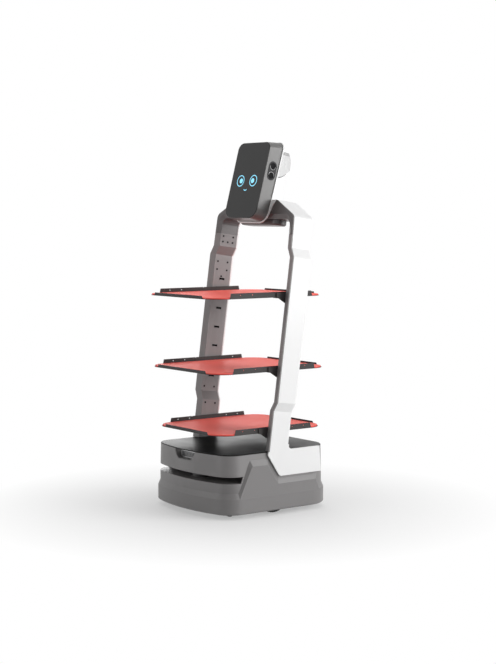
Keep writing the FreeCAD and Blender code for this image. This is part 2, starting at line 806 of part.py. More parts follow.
def cover_section(w):
    xi = leg_inner - run_x(w)
    xo = leg_outer - run_x(w)
    t = leg_cover
    v0 = front_flange + seam
    v1 = cover_depth
    r = cover_round
    k = r * (1 - math.sqrt(0.5))
    return [(xo, v0, w), (xo, v1 - r, w), (xo - k, v1 - k, w), (xo - r, v1, w), (xi, v1, w),
            (xi, v1 - t, w), (xo - r, v1 - t, w), (xo - t, v1 - r, w), (xo - t, v0, w)]


low_w = 200.0
above_base = Part.makeBox(2000, 4000, 3000, Vec(-1000, -2000, rim_height + seam))
leg = leg_place(loft([frame_section(w) for w in stations(low_w, split_w)])).common(above_base)
root = leg_root(0, plate_high, rim_height + seam + 6)
leg = join([leg, root])

# shelf slots with a small relief at each lower corner

def on_leg(y_shift, z):
    """Point (v, w) on the inner face at depth slot_v and height z."""
    y = leg_line(slot_v, z)
    return leg_local(y, z)


def shelf_slot(z):
    v, w = on_leg(0, z)
    xi = leg_inner - run_x(w)
    end = slot_long / 2
    cut = block(xi - 1, xi + slot_deep, v - end, v + end, w - slot_tall / 2, w + slot_tall / 2)
    ticks = [block(xi - 1, xi + 2.5, v + s * end - 1.2, v + s * end + 1.2,
                   w - slot_tall / 2 - 3.2, w - slot_tall / 2 + 1) for s in (1, -1)]
    return leg_place(cut.fuse(ticks))


for z in shelf_slots + (low_slot,):
    leg = leg.cut(shelf_slot(z))

# screws on the inner faces, in pairs beside each jog and the split, as (v, w)
sv0, sv1, sv2 = screw_v
pair_rows = (jog_low - 12, jog_low + 52, jog_high - 59, jog_high - 27, jog_high + 52, jog_high + 74)
screw_rows = [(v, w) for w in pair_rows for v in (sv0, sv2)]
screw_rows += [(sv1, jog_high - 85), (sv1, jog_high + 52)]
screws = []
for v, w in screw_rows:
    xi = leg_inner - run_x(w)
    hole = disc(screw_radius + seam, screw_sink + 5, xi - 5, v, w, (1, 0, 0))
    leg = leg.cut(leg_place(hole))
    screws.append(leg_place(disc(screw_radius, screw_head, xi + screw_sink - screw_head, v, w, (1, 0, 0))))
parts["leg_frame_left"] = leg
parts["leg_frame_right"] = mirror(leg)
parts["leg_screws"] = Part.makeCompound(screws + [mirror(s) for s in screws])

# white outer cover with its foot
skin = leg_place(loft([cover_section(w) for w in stations(low_w, split_w)])).common(above_base)
web = foot_high + foot_web
cover_line = leg_line(cover_depth, foot_high)
lip_line = front_flange + seam
foot_line = [(leg_line(0, rim_height - 1), rim_height - 1), (foot_front, foot_nose_z), (foot_toe_y, toe_top),
             (foot_toe_y + foot_toe_run, foot_low), (foot_rear, foot_low),
             (foot_rear - foot_tail_lean, foot_high),
             (cover_line + 15, foot_high), (cover_line + 6, foot_high + 3), (cover_line + 1.5, foot_high + 9),
             (leg_line(cover_depth, web), web), (leg_line(lip_line, web), web),
             (leg_line(lip_line, rim_height - 1), rim_height - 1)]
foot_plate = side(foot_line, leg_low_outer - leg_cover, leg_low_outer)
outer_cover = join([skin, foot_plate])
parts["leg_cover_left"] = outer_cover
parts["leg_cover_right"] = mirror(outer_cover)

# ---------------------------------------------------------------- arch top
shoulder_x = leg_outer - run_x(shoulder_w)
split_x = leg_outer - run_x(split_w)
split_in = leg_inner - run_x(split_w)


def corner_arc(p0, p1, p2, radius, count):
    """Points of a fillet at p1 between the lines to p0 and p2."""
    a = Vec(p0[0] - p1[0], p0[1] - p1[1], 0).normalize()
    b = Vec(p2[0] - p1[0], p2[1] - p1[1], 0).normalize()
    half_angle = a.getAngle(b) / 2
    reach = radius / math.tan(half_angle)
    bis = (a + b).normalize()
    centre = Vec(p1[0], p1[1], 0) + bis * (radius / math.sin(half_angle))
    start = Vec(p1[0], p1[1], 0) + a * reach
    stop = Vec(p1[0], p1[1], 0) + b * reach
    s = start - centre
    e = stop - centre
    points = []
    for i in range(count + 1):
        f = i / count
        d = (s * (1 - f) + e * f).normalize() * radius
        q = centre + d
        points.append((q.x, q.y))
    return points


def arch_outline(inset):
    """Right half of the outer outline of the arch top, from the split up, as (x, w)."""
    sx = shoulder_x - inset
    sw = shoulder_w - inset * 0.3
    rw = roof_w - inset
    rh = roof_half - inset * 0.25
    pts = [(split_x - inset, split_w)]
    pts += corner_arc((split_x - inset, split_w), (sx, sw), (rh, rw), shoulder_round - inset, 5)
    pts += corner_arc((sx, sw), (rh, rw), (-rh, rw), 12, 2)
    return pts


def arch_inner(inset):
    ci = leg_inner - run_x(ceiling_w) + inset
    pts = [(split_in + inset, split_w)]
    pts += corner_arc((split_in + inset, split_w), (ci, ceiling_w + inset), (0, ceiling_w + inset),
                      ceiling_round + inset, 4)
    return pts


def arch_ring(outer, inner):
    right = outer + [(-x, w) for x, w in reversed(outer)]
    left = [(-x, w) for x, w in inner] + [(x, w) for x, w in reversed(inner)]
    return right + left


def slab(points, v0, v1):
    return prism([(x, v0, w) for x, w in points], (0, v1 - v0, 0))


beam_out = arch_outline(0)
beam_in = arch_inner(0)
tucked = arch_outline(roof_skin + seam)
front_part = loft([[(x, 0, w) for x, w in arch_ring(beam_out, arch_inner(leg_bevel * 2.2))],
                   [(x, leg_bevel, w) for x, w in arch_ring(beam_out, beam_in)]])
front_part = front_part.common(block(-400, 400, -1, front_flange, split_w, roof_w + 50))
body = loft([[(x, 0, w) for x, w in arch_ring(tucked, arch_inner(leg_bevel * 2.2))],
             [(x, leg_bevel, w) for x, w in arch_ring(tucked, beam_in)]])
body = body.common(block(-400, 400, front_flange - 0.1, leg_bevel, split_w, roof_w + 50))
rest = slab(arch_ring(tucked, beam_in), leg_bevel, leg_depth)
beam = join([front_part, body, rest])

# pod under the beam
pod_v = (leg_bevel + leg_depth) / 2
pod = Part.Face(rounded(pod_width, pod_depth, pod_round)).extrude(Vec(0, 0, pod_drop - seam))
low_edges = [e for e in pod.Edges if e.CenterOfMass.z < 0.1]
pod = pod.makeChamfer(pod_edge, low_edges)
pod.translate(Vec(0, pod_v, ceiling_w - pod_drop))
parts["beam_frame"] = leg_place(beam)
parts["beam_pod"] = leg_place(pod)

# white roof cover: skin over the top and a back plate
roof_line = arch_outline(0)
roof_top = slab(roof_line + [(-x, w) for x, w in reversed(roof_line)], front_flange + seam, cover_depth)
under = slab(arch_outline(roof_skin) + [(-x, w) for x, w in reversed(arch_outline(roof_skin))],
             front_flange, cover_depth - leg_cover)
open_in = arch_inner(0)
mouth = slab([(x, w) for x, w in open_in] + [(-x, w) for x, w in reversed(open_in)], 0, cover_depth + 1)
roof = roof_top.cut(under).cut(mouth)
roof = roof.common(block(-400, 400, 0, cover_depth + 5, split_w + seam, roof_w + 50))
parts["roof_cover"] = leg_place(roof)

# light plate between the head and the arch
plate_half = ((66, 77.6), (84, 70.6), (93, 56.6), (107, 26.6), (126, 2))   # x, below the roof
plate_outline = [(x, roof_w - drop) for x, drop in plate_half]
plate_outline = [(-x, w) for x, w in reversed(plate_outline)] + plate_outline
thick_plate = leg_place(slab(plate_outline, -40, -seam))
behind_v = head_deep + back_thick + seam
far_low = head_z - 300
far_high = head_z + 400
rear_half = side([(head_back_y(far_low, behind_v), far_low), (head_back_y(far_high, behind_v), far_high),
                  (base_rear * 3, far_high), (base_rear * 3, far_low)], -base_width, base_width)
parts["neck_plate"] = thick_plate.common(rear_half)

# ---------------------------------------------------------------- trays


def lip_plate(x0, x1, y0, y1, z0, z1, cut_axis):
    """A lip with slanted ends: cut_axis says which way it runs."""
    s = lip_slant
    if cut_axis == "y":
        return prism([(x0, y0, z0), (x0, y0 + s, z1), (x0, y1 - s, z1), (x0, y1, z0)], (x1 - x0, 0, 0))
    return prism([(x0, y0, z0), (x0 + s, y0, z1), (x1 - s, y0, z1), (x1, y0, z0)], (0, y1 - y0, 0))


def tray(width, depth, y, top):
    """Pan with four lips, its mat and a bracket for each leg; top is the top of the mat."""
    pan_high = top - mat_thick
    pan_low = pan_high - tray_steel
    t = tray_steel
    pan = rounded_plate(width, depth, tray_round, pan_low, pan_high, y)
    yl = leg_line(leg_bevel, top) - bracket_reach
    yr = leg_line(leg_depth, top) + bracket_tail
    y0 = y - depth / 2 + tray_round
    y1 = y + depth / 2 - tray_round
    a = width / 2
    lips = []
    for s in (1, -1):
        x0, x1 = sorted((s * a, s * (a - t)))
        lip = lip_plate(x0, x1, y0, yl - 1.0, pan_low, top + side_lip, "y")
        back = lip_plate(x0, x1, yr + 1.0, y1, pan_low, top + side_lip, "y")
        lips += [lip, back]
    x1 = a - tray_round
    lips.append(lip_plate(-x1, x1, y - depth / 2, y - depth / 2 + t, pan_low, top + end_lip, "x"))
    lips.append(lip_plate(-x1, x1, y + depth / 2 - t, y + depth / 2, pan_low, top + end_lip, "x"))
    pan = join([pan] + lips)
    for away in lip_holes:
        for yy in (y - away, y + away):
            if yy < yl - 12 or yy > yr + 8:
                pan = pan.cut(disc(lip_hole_radius, width + 10, -a - 5, yy, top + side_lip / 2, (1, 0, 0)))
    inset = t + mat_gap
    mat = rounded_plate(width - 2 * inset, depth - 2 * inset, tray_round - inset, pan_high, top, y)
    mat = mat.makeFillet(mat_round, [e for e in mat.Edges if e.BoundBox.ZMin > top - 0.01])
    # bracket: plate beside the tray, ledge under it, hook in the shelf slot
    xi = a + tray_side_gap
    xp = xi - seam
    z1 = top + side_lip - 3.0
    yf = leg_line(leg_bevel, top)
    yb = leg_line(leg_depth, top)
    outline = [(yl, z1), (yl, pan_low - seam), (yl + 10, pan_low - seam - 3), (yf + 2, pan_low - bracket_drop),
               (yb - 12, pan_low - bracket_drop), (yr, pan_low - seam - 3), (yr, z1)]
    plate = side(outline, xp - bracket_plate, xp)
    ledge = block(xp - bracket_ledge, xp, yl + 10, yr - 6, pan_low - seam - bracket_plate, pan_low - seam)
    v, w = leg_local(leg_line(slot_v, top - hook_drop), top - hook_drop)
    hook = leg_place(block(xp - 1, xi + slot_deep - 3, v - slot_long / 2 + 1, v + slot_long / 2 - 1,
                           w - slot_tall / 2 + seam, w + slot_tall / 2 - hook_top_gap))
    bracket = join([plate, ledge, hook])
    return pan, mat, bracket


mid_width = 2 * (leg_inner - tray_side_gap)
low_width = 2 * (leg_inner - jog - tray_side_gap)
back_top, back_middle, back_bottom = tray_back
levels = (("top", mid_width, tray_depth, base_y + back_top, shelf_slots[5] + hook_drop),
          ("middle", mid_width, tray_depth, base_y + back_middle, shelf_slots[1] + hook_drop),
          ("bottom", low_width, low_tray_depth, base_y + back_bottom, low_slot + hook_drop))
for name, width, depth, y, top in levels:
    pan, mat, bracket = tray(width, depth, y, top)
    parts["tray_pan_" + name] = pan
    parts["tray_mat_" + name] = mat
    parts["tray_bracket_" + name + "_left"] = bracket
    parts["tray_bracket_" + name + "_right"] = mirror(bracket)


# ---------------------------------------------------------------- head
def head_outline(by, v):
    """Rounded front outline of the head, drawn in by `by`, at depth v, as a wire."""
    a = head_half - by
    low = head_low + by
    top = head_top - by + head_rise * max(0, v - glass_thick) / (head_deep - glass_thick)
    rl = head_round_low - by
    rt = head_round_top - by
    k = 1 - math.sqrt(0.5)

    def p(x, w):
        return Vec(x, v + head_wedge(v) * (w - head_low), w)

    edges = [
        Part.LineSegment(p(-a + rl, low), p(a - rl, low)).toShape(),
        Part.Arc(p(a - rl, low), p(a - rl * k, low + rl * k), p(a, low + rl)).toShape(),
        Part.LineSegment(p(a, low + rl), p(a, top - rt)).toShape(),
        Part.Arc(p(a, top - rt), p(a - rt * k, top - rt * k), p(a - rt, top)).toShape(),
        Part.LineSegment(p(a - rt, top), p(-a + rt, top)).toShape(),
        Part.Arc(p(-a + rt, top), p(-a + rt * k, top - rt * k), p(-a, top - rt)).toShape(),
        Part.LineSegment(p(-a, top - rt), p(-a, low + rl)).toShape(),
        Part.Arc(p(-a, low + rl), p(-a + rl * k, low + rl * k), p(-a + rl, low)).toShape(),
    ]
    return Part.Wire(edges)


def head_slab(by, v0, v1):
    """Slab of the head between two depths, drawn in by `by`."""
    return Part.makeLoft([head_outline(by, v0), head_outline(by, v1)], True, True)


glass = head_slab(glass_inset, 0, glass_thick)
glass = glass.makeChamfer(0.7, [e for e in glass.Edges if e.CenterOfMass.y < 0.01])
parts["head_glass"] = head_place(glass)
shell = head_slab(0, glass_thick, head_deep)
shell = shell.cut(head_slab(head_wall, glass_thick + 2, head_deep + 1))
shell = shell.cut(head_slab(glass_inset + glass_seat, glass_thick - 1, glass_thick + 3))


def stadium(length, width, depth, x):
    """Stadium standing on end on the side of the head, extruded along x."""
    r = width / 2
    h = length / 2 - r
    k = math.sqrt(0.5)

    def p(v, w):
        return Vec(x, speaker_v + v, speaker_w + w)

    edges = [Part.LineSegment(p(r, -h), p(r, h)).toShape(),
             Part.Arc(p(r, h), p(0, h + r), p(-r, h)).toShape(),
             Part.LineSegment(p(-r, h), p(-r, -h)).toShape(),
             Part.Arc(p(-r, -h), p(0, -h - r), p(r, -h)).toShape()]
    return Part.Face(Part.Wire(edges)).extrude(Vec(depth, 0, 0))


recess = stadium(speaker_length + 2 * seam, speaker_width + 2 * seam, 10, head_half - speaker_sink - seam)
sound_ports = []
trim_v = speaker_v
trim_off = speaker_length / 2 - speaker_width / 2
for s in (1, -1):
    w = speaker_w + s * trim_off
    sound_ports.append(disc(grille_radius - 3, 12, head_half - 8, trim_v, w, (1, 0, 0)))
shell_cut = recess.fuse(sound_ports)
shell = shell.cut(shell_cut).cut(mirror(shell_cut))
parts["head_housing"] = head_place(shell)
trim = stadium(speaker_length, speaker_width, speaker_stand + speaker_sink, head_half - speaker_sink)
for s in (1, -1):
    w = speaker_w + s * trim_off
    x = head_half + speaker_stand
    well = disc(grille_radius, grille_sink, x - grille_sink, trim_v, w, (1, 0, 0))
    well = well.cut(disc(grille_radius - grille_ring, grille_sink, x - grille_sink, trim_v, w, (1, 0, 0)))
    trim = trim.cut(well)
parts["speaker_trim_left"] = head_place(trim)
parts["speaker_trim_right"] = head_place(mirror(trim))

# display and board behind the glass
inner = glass_inset + glass_seat + display_margin
screen = Part.makeBox(2 * (head_half - inner - 4), display_thick, head_top - head_low - 2 * inner - 14,
                      Vec(-(head_half - inner - 4), glass_thick + seam, head_low + inner + 10))
parts["display_panel"] = head_place(screen)
board_v = glass_thick + display_thick + board_gap
board_thick = 1.6
board = Part.makeBox(board_width, board_thick, board_height, Vec(-board_width / 2, board_v, board_low))
chips = []
for x, up, size in ((-30, 40, 34), (20, 25, 22), (10, 90, 28), (-40, 110, 18)):
    chips.append(Part.makeBox(size, 3, size, Vec(x, board_v + board_thick, board_low + up)))
posts = []
for x in (-board_width / 2 + 8, board_width / 2 - 8):
    for w in (board_low + 8, board_low + board_height - 8):
        posts.append(disc(3, board_gap - seam, x, board_v - board_gap + seam, w, (0, 1, 0)))
parts["head_board"] = head_place(join([board] + chips + posts))

# back cover of the head
back = head_slab(-back_lip, head_deep, head_deep + back_thick)
plug = head_slab(head_wall + seam, head_deep - 4, head_deep)
plug = plug.cut(head_slab(head_wall + 3, head_deep - 5, head_deep))
back_plane = head_deep + back_thick
parts["head_back"] = head_place(join([back, plug]))

# neck: from the roof up to the seam under the rear module
seam_z = head_z + seam_up
seam_points = [(head_y + y, seam_z + dz) for y, dz in seam_sweep]
neck_rear_y = head_y + neck_back
neck_foot_y = leg_front + roof_w * lean_sin + (cover_depth - 11) * lean_cos
front_v = back_plane + seam


def roof_z(y):
    return (roof_w - (y - leg_front) * lean_sin) / lean_cos


def roof_meets(v):
    """Point where the plane at depth v of the head meets the top of the roof."""
    z = roof_w
    for _ in range(30):
        z = roof_z(head_back_y(z, v)) + seam
    return (head_back_y(z, v), z)


neck_outline = [roof_meets(front_v), (head_back_y(seam_z, front_v), seam_z)] + seam_points[:3]
neck_outline += [(neck_rear_y, head_z + neck_top_up), (neck_rear_y - 2.3, head_z + neck_bend_up),
                 (neck_foot_y, roof_z(neck_foot_y) + seam)]
neck = side(neck_outline, -module_half, module_half)


def upright(shape, y, tall):
    """Edges of a shape across its rear, behind y and taller than tall."""
    across = [e for e in shape.Edges if e.BoundBox.XLength < 0.01 and e.CenterOfMass.y > y]
    return [e for e in across if e.BoundBox.ZLength > tall]


neck = neck.makeFillet(module_round, upright(neck, neck_rear_y - 17, 15))
parts["neck"] = neck

module_y = head_y + module_back
lid_z0 = head_z + module_lid_up
low_z0 = head_z + module_low_up
lid_at = lid_z0
for _ in range(30):
    lid_y = head_back_y(lid_at, front_v)
    lid_at = lid_z0 + lid_slope * (module_y - 2.5 - lid_y)
module = [(head_back_y(seam_z + module_gap, front_v), seam_z + module_gap)]
module += [(y, z + module_gap) for y, z in seam_points]
module += [(module_y - module_bulge, low_z0), (module_y, low_z0 + 13), (module_y, lid_z0 - 10),
           (module_y - 2.5, lid_z0), (lid_y, lid_at)]
hump = side(module, -module_half, module_half)
parts["rear_module"] = hump.makeFillet(module_round, upright(hump, module_y - 5, 9.5))


def lid_z(y, above):
    return lid_z0 + lid_slope * (module_y - 2.5 - y) + above


cap_front = head_back_y(lid_at + seam, front_v)
cap_top = head_back_y(lid_at + cap_height, front_v)
cap_rear = module_y - 4
cap_outline = [(cap_front, lid_z(cap_front, seam)), (cap_rear, lid_z(cap_rear, seam)),
               (cap_rear - 1.5, lid_z(cap_rear, cap_height - 4)),
               (cap_rear - 7, lid_z(cap_rear - 7, cap_height)),
               (cap_top, lid_z(cap_top, cap_height))]
cap = side(cap_outline, -module_half + cap_inset, module_half - cap_inset)
parts["module_cap"] = cap.makeChamfer(module_round - 8, upright(cap, cap_rear - 2, cap_height - 6))

# ---------------------------------------------------------------- write the pieces
os.makedirs("parts", exist_ok=True)
for name, shape in parts.items():
    solids = shape.Solids
    out = solids[0] if len(solids) == 1 else Part.makeCompound(solids)
    out.exportStep(os.path.join("parts", name + ".step"))
    bb = out.BoundBox
    print("%-28s solids %d valid %s  x %.1f..%.1f y %.1f..%.1f z %.1f..%.1f" % (
        name, len(solids), out.isValid(), bb.XMin, bb.XMax, bb.YMin, bb.YMax, bb.ZMin, bb.ZMax))
print(len(parts), "pieces")
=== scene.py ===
"""Looks of an indoor delivery robot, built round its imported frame.

One operator finishes each group of pieces and one makes the stage. Lengths are metres, as in
the frame: +Z is up, the robot's front faces -Y and its left side is at +X.
"""

import math

import bmesh
import bpy
from bpy.props import FloatProperty, IntProperty, PointerProperty, StringProperty
from mathutils import Matrix, Vector


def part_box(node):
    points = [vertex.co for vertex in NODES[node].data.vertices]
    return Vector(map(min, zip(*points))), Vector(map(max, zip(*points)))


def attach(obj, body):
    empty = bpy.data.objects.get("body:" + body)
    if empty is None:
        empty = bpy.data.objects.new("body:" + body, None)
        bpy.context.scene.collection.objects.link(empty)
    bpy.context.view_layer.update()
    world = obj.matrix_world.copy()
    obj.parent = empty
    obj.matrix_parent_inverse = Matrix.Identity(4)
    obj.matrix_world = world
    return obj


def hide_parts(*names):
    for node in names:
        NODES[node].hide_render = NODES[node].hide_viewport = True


bl_info = {
    "name": "Delivery robot looks",
    "version": (1, 0, 0),
    "blender": (4, 5, 0),
    "location": "View3D > Sidebar > Robot",
    "description": "Finishes, fine details and stage of an indoor delivery robot",
    "category": "Object",
}

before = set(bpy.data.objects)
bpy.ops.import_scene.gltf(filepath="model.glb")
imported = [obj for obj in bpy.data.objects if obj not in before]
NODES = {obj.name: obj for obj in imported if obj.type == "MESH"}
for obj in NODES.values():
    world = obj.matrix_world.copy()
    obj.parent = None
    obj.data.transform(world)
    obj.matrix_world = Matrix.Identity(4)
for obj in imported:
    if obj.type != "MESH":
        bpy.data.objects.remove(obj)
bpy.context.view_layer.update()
MM = 0.001
ROOT = "robot"
HEAD_LEAN = math.radians(15.0)    # of the head
HEAD_PLACE = Vector((0.0, 0.0066, 1.116))    # lower edge of the glass
LEG_LEAN = math.radians(7.8)
LEG_FRONT = -73.3 * MM            # front line of the legs, at the floor
SLOT_BACK = 50.0 * MM             # middle of the shelf slots behind that line
FREE_SLOTS = (0.483, 0.603, 0.677, 0.752, 0.868)    # heights of the slots that hold no bracket
SLEEVE_DEPTH = 10.6 * MM
TRAY_GAP = 4.9 * MM               # tray edge to leg


# ---------------------------------------- colour and nodes
def linear(code):
    """Linear RGBA of an sRGB hex colour."""
    parts = [int(code.lstrip("#")[i:i + 2], 16) / 255 for i in (0, 2, 4)]
    return [c / 12.92 if c <= 0.04045 else ((c + 0.055) / 1.055) ** 2.4 for c in parts] + [1.0]


def add(tree, kind, sets=None, links=None, **attributes):
    """Adds a node: attributes on it, sets on its inputs, links from (node, output) to its inputs."""
    node = tree.nodes.new(kind)
    for key, value in attributes.items():
        setattr(node, key, value)
    for key, value in (sets or {}).items():
        node.inputs[key].default_value = value
    for key, (source, output) in (links or {}).items():
        tree.links.new(source.outputs[output], node.inputs[key])
    return node


def new_material(name):
    """A material with no nodes yet, and its tree."""
    material = bpy.data.materials.new(name)
    material.use_nodes = True
    material.node_tree.nodes.clear()
    return material, material.node_tree


def surface(name, colour, roughness, grain_mm, grain_depth, tone=0.05, edge=0.0, **sockets):
    """A moulded, painted or cast surface: a slow change of tone, a fine grain and a varied gloss."""
    cloud_mm = 180.0      # size of the clouds of tone and gloss
    gloss_change = 0.12
    polish = 1.6          # how much lighter a polished corner is
    material, tree = new_material(name)
    place = add(tree, "ShaderNodeTexCoord")
    cloud = add(tree, "ShaderNodeTexNoise", {"Scale": 1 / (cloud_mm * MM), "Detail": 3.0, "Roughness": 0.55},
                {"Vector": (place, "Object")})
    base = linear(colour)
    dark = [c * (1 - tone) for c in base[:3]] + [1.0]
    light = [min(1.0, c * (1 + tone)) for c in base[:3]] + [1.0]
    # the mix node's colours are its inputs 6 and 7 and its output 2
    tint = add(tree, "ShaderNodeMix", {6: dark, 7: light}, {0: (cloud, "Fac")}, data_type="RGBA")
    grain = add(tree, "ShaderNodeTexNoise", {"Scale": 1 / (grain_mm * MM), "Detail": 2.0, "Roughness": 0.6},
                {"Vector": (place, "Object")})
    bump = add(tree, "ShaderNodeBump", {"Strength": 1.0, "Distance": grain_depth * MM},
               {"Height": (grain, "Fac")})
    gloss = add(tree, "ShaderNodeMapRange", {"From Min": 0.3, "From Max": 0.7,
                                             "To Min": roughness * (1 - gloss_change),
                                             "To Max": min(1.0, roughness * (1 + gloss_change))},
                {"Value": (cloud, "Fac")})
    if edge:
        # corners catch a little more light where handling has polished them
        geometry = add(tree, "ShaderNodeNewGeometry")
        worn = add(tree, "ShaderNodeMapRange", {"From Min": 0.52, "From Max": 0.60, "To Min": 0.0,
                                                "To Max": edge}, {"Value": (geometry, "Pointiness")})
        polished = [min(1.0, c * polish) for c in base[:3]] + [1.0]
        tint = add(tree, "ShaderNodeMix", {7: polished}, {0: (worn, "Result"), 6: (tint, 2)}, data_type="RGBA")
    shader = add(tree, "ShaderNodeBsdfPrincipled", sockets,
                 {"Base Color": (tint, 2), "Roughness": (gloss, "Result"), "Normal": (bump, "Normal")})
    add(tree, "ShaderNodeOutputMaterial", {}, {"Surface": (shader, 0)})
    return material


def lamp_surface(name, colour, strength):
    """A lit area of a display behind clear glass."""
    cell = 6 * MM
    change = 0.06
    material, tree = new_material(name)
    place = add(tree, "ShaderNodeTexCoord")
    cells = add(tree, "ShaderNodeTexNoise", {"Scale": 1 / cell, "Detail": 1.0}, {"Vector": (place, "Object")})
    level = add(tree, "ShaderNodeMapRange", {"To Min": strength * (1 - change),
                                             "To Max": strength * (1 + change)}, {"Value": (cells, "Fac")})
    shader = add(tree, "ShaderNodeBsdfPrincipled", {"Base Color": linear(colour), "Roughness": 0.2,
                                                    "Emission Color": linear(colour)},
                 {"Emission Strength": (level, "Result")})
    add(tree, "ShaderNodeOutputMaterial", {}, {"Surface": (shader, 0)})
    return material


# ---------------------------------------- settings
class RobotColours(bpy.types.PropertyGroup):
    shell: StringProperty(name="Shell", description="Grey moulded shell of the base", default="#757373")
    cover: StringProperty(name="Cover", description="White covers of the arch and the neck", default="#F1F1F1")
    # painted shade: this pale grey stands for the shade on the white module behind the head
    module: StringProperty(name="Rear module", description="Very pale grey of the module behind the head",
                           default="#CBCBCB")
    # painted shade: the lid's grey stands for the shade on the top face of the module
    lid: StringProperty(name="Lid", description="Grey lid on top of the rear module", default="#A2A2A2")
    leg: StringProperty(name="Leg", description="Powder coat of the leg frames", default="#7A7777")
    # painted shade: the beam's darker grey stands for the shade the head casts on it
    beam: StringProperty(name="Beam", description="Powder coat of the top beam", default="#575252")
    tray: StringProperty(name="Tray", description="Powder coat of the trays and brackets", default="#363333")
    mat: StringProperty(name="Mat", description="Red silicone of the tray mats", default="#FF5C52")
    gloss: StringProperty(name="Gloss black", description="Black top of the base", default="#171717")
    head: StringProperty(name="Head", description="Grey housing of the head", default="#6A6968")
    rim: StringProperty(name="Rim", description="Silver back of the head", default="#F0F0F0")
    glass: StringProperty(name="Glass", description="Dark glass of the head", default="#343434")
    face: StringProperty(name="Face", description="Lit lines on the screen", default="#86D8F4")


class RobotDetails(bpy.types.PropertyGroup):
    screw_radius: FloatProperty(name="Screw head", description="Radius of the button heads in the legs",
                                default=3.8 * MM, unit="LENGTH")
    socket_radius: FloatProperty(name="Socket", description="Radius of the hexagon socket in each head",
                                 default=1.4 * MM, unit="LENGTH")
    grille_hole: FloatProperty(name="Grille hole", description="Radius of one hole of a speaker grille",
                               default=0.75 * MM, unit="LENGTH")
    grille_pitch: FloatProperty(name="Grille pitch", description="Distance between the holes of a grille",
                                default=2.6 * MM, unit="LENGTH")
    tread_blocks: IntProperty(name="Tread blocks", description="Grooves round each drive tyre", default=48)
    eye_gap: FloatProperty(name="Eye spacing", description="Distance between the two rings on the screen",
                           default=80 * MM, unit="LENGTH")
    eye_radius: FloatProperty(name="Eye radius", description="Outer radius of each ring", default=22.5 * MM,
                              unit="LENGTH")
    line: FloatProperty(name="Line", description="Width of the lit lines", default=3.2 * MM, unit="LENGTH")


class RobotStage(bpy.types.PropertyGroup):
    azimuth: FloatProperty(name="Azimuth", description="Direction of the camera", default=53.1736)
    elevation: FloatProperty(name="Elevation", description="Height of the camera above level", default=4.5677)
    distance: FloatProperty(name="Distance", description="Camera to aim point", default=5.9311, unit="LENGTH")
    lens: FloatProperty(name="Lens", description="Focal length for a 36 mm sensor", default=83.336)
    fill: FloatProperty(name="Fill", description="Strength of the even light all round", default=0.21)
    key: FloatProperty(name="Key", description="Power of the main lamp", default=850.0)


# ---------------------------------------- mesh helpers
def mesh_object(name, mesh, material, body=ROOT, slot=None):
    """A piece with one material that rides on a body. Its slot argument is not used."""
    piece = bpy.data.objects.new(name, mesh)
    bpy.context.scene.collection.objects.link(piece)
    mesh.materials.clear()
    mesh.materials.append(material)
    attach(piece, body)
    return piece


def finish_mesh(name, bm, smooth):
    """A mesh of a bmesh, welded, with its faces turned outwards."""
    bmesh.ops.remove_doubles(bm, verts=bm.verts, dist=1e-6)
    bmesh.ops.recalc_face_normals(bm, faces=bm.faces)
    mesh = bpy.data.meshes.new(name)
    bm.to_mesh(mesh)
    bm.free()
    for polygon in mesh.polygons:
        polygon.use_smooth = smooth
    return mesh


def solid(name, bm, material, smooth=False, **where):
    """A piece made of a bmesh, with flat faces unless told otherwise."""
    return mesh_object(name, finish_mesh(name, bm, smooth), material, **where)


def skin(bm, rows, ring=True):
    """Joins rows of vertices with faces; the rows make a ring, or end in two caps."""
    for here, there in zip(rows, rows[1:] + (rows[:1] if ring else [])):
        for k in range(len(here)):
            n = (k + 1) % len(here)
            bm.faces.new((here[k], here[n], there[n], there[k]))
    if not ring:
        bm.faces.new(rows[0])
        bm.faces.new(rows[-1][::-1])


def head_matrix():
    """From the head's own leaning frame (x across, y backwards, z up) to the robot's."""
    return Matrix.Translation(HEAD_PLACE) @ Matrix.Rotation(-HEAD_LEAN, 4, "X")


def turned(bm, place, profile, count=48, closed=False, dip=None):
    """Turns a profile of (radius, height) round the z axis of a matrix; dip gives a radius change by step."""
    widest = max(r for r, _ in profile)
    rows = []
    for i in range(count):
        a = math.tau * i / count
        change = dip(i) if dip else 0.0
        row = []
        for k, (r, h) in enumerate(profile):
            if r == 0 and rows:
                row.append(rows[0][k])
                continue
            out = r + (change if r == widest else 0.0)
            row.append(bm.verts.new(place @ Vector((out * math.cos(a), out * math.sin(a), h))))
        rows.append(row)
    steps = len(profile) if closed else len(profile) - 1
    for i in range(count):
        here, there = rows[i], rows[(i + 1) % count]
        for k in range(steps):
            n = (k + 1) % len(profile)
            corners = []
            for vert in (here[k], there[k], there[n], here[n]):
                if vert not in corners:
                    corners.append(vert)
            if len(corners) > 2:
                bm.faces.new(corners)


def band(bm, place, radius, width, thick, start=0.0, stop=math.tau):
    """A flat closed strip along an arc in the xy plane of a matrix."""
    whole = stop - start > math.tau - 1e-6
    count = 48 if whole else 24
    rows = []
    for i in range(count + (0 if whole else 1)):
        a = start + (stop - start) * i / count
        row = []
        for out, up in ((-width / 2, 0), (width / 2, 0), (width / 2, thick), (-width / 2, thick)):
            r = radius + out
            row.append(bm.verts.new(place @ Vector((r * math.cos(a), r * math.sin(a), up))))
        rows.append(row)
    skin(bm, rows, ring=whole)


def facing(point, direction):
    """Matrix at a point with its z axis along a direction."""
    return Matrix.Translation(point) @ Vector(direction).to_track_quat("Z", "Y").to_matrix().to_4x4()


def dress(material, *names):
    """Gives CAD nodes a material."""
    for name in names:
        node = NODES[name]
        node.data.materials.clear()
        node.data.materials.append(material)


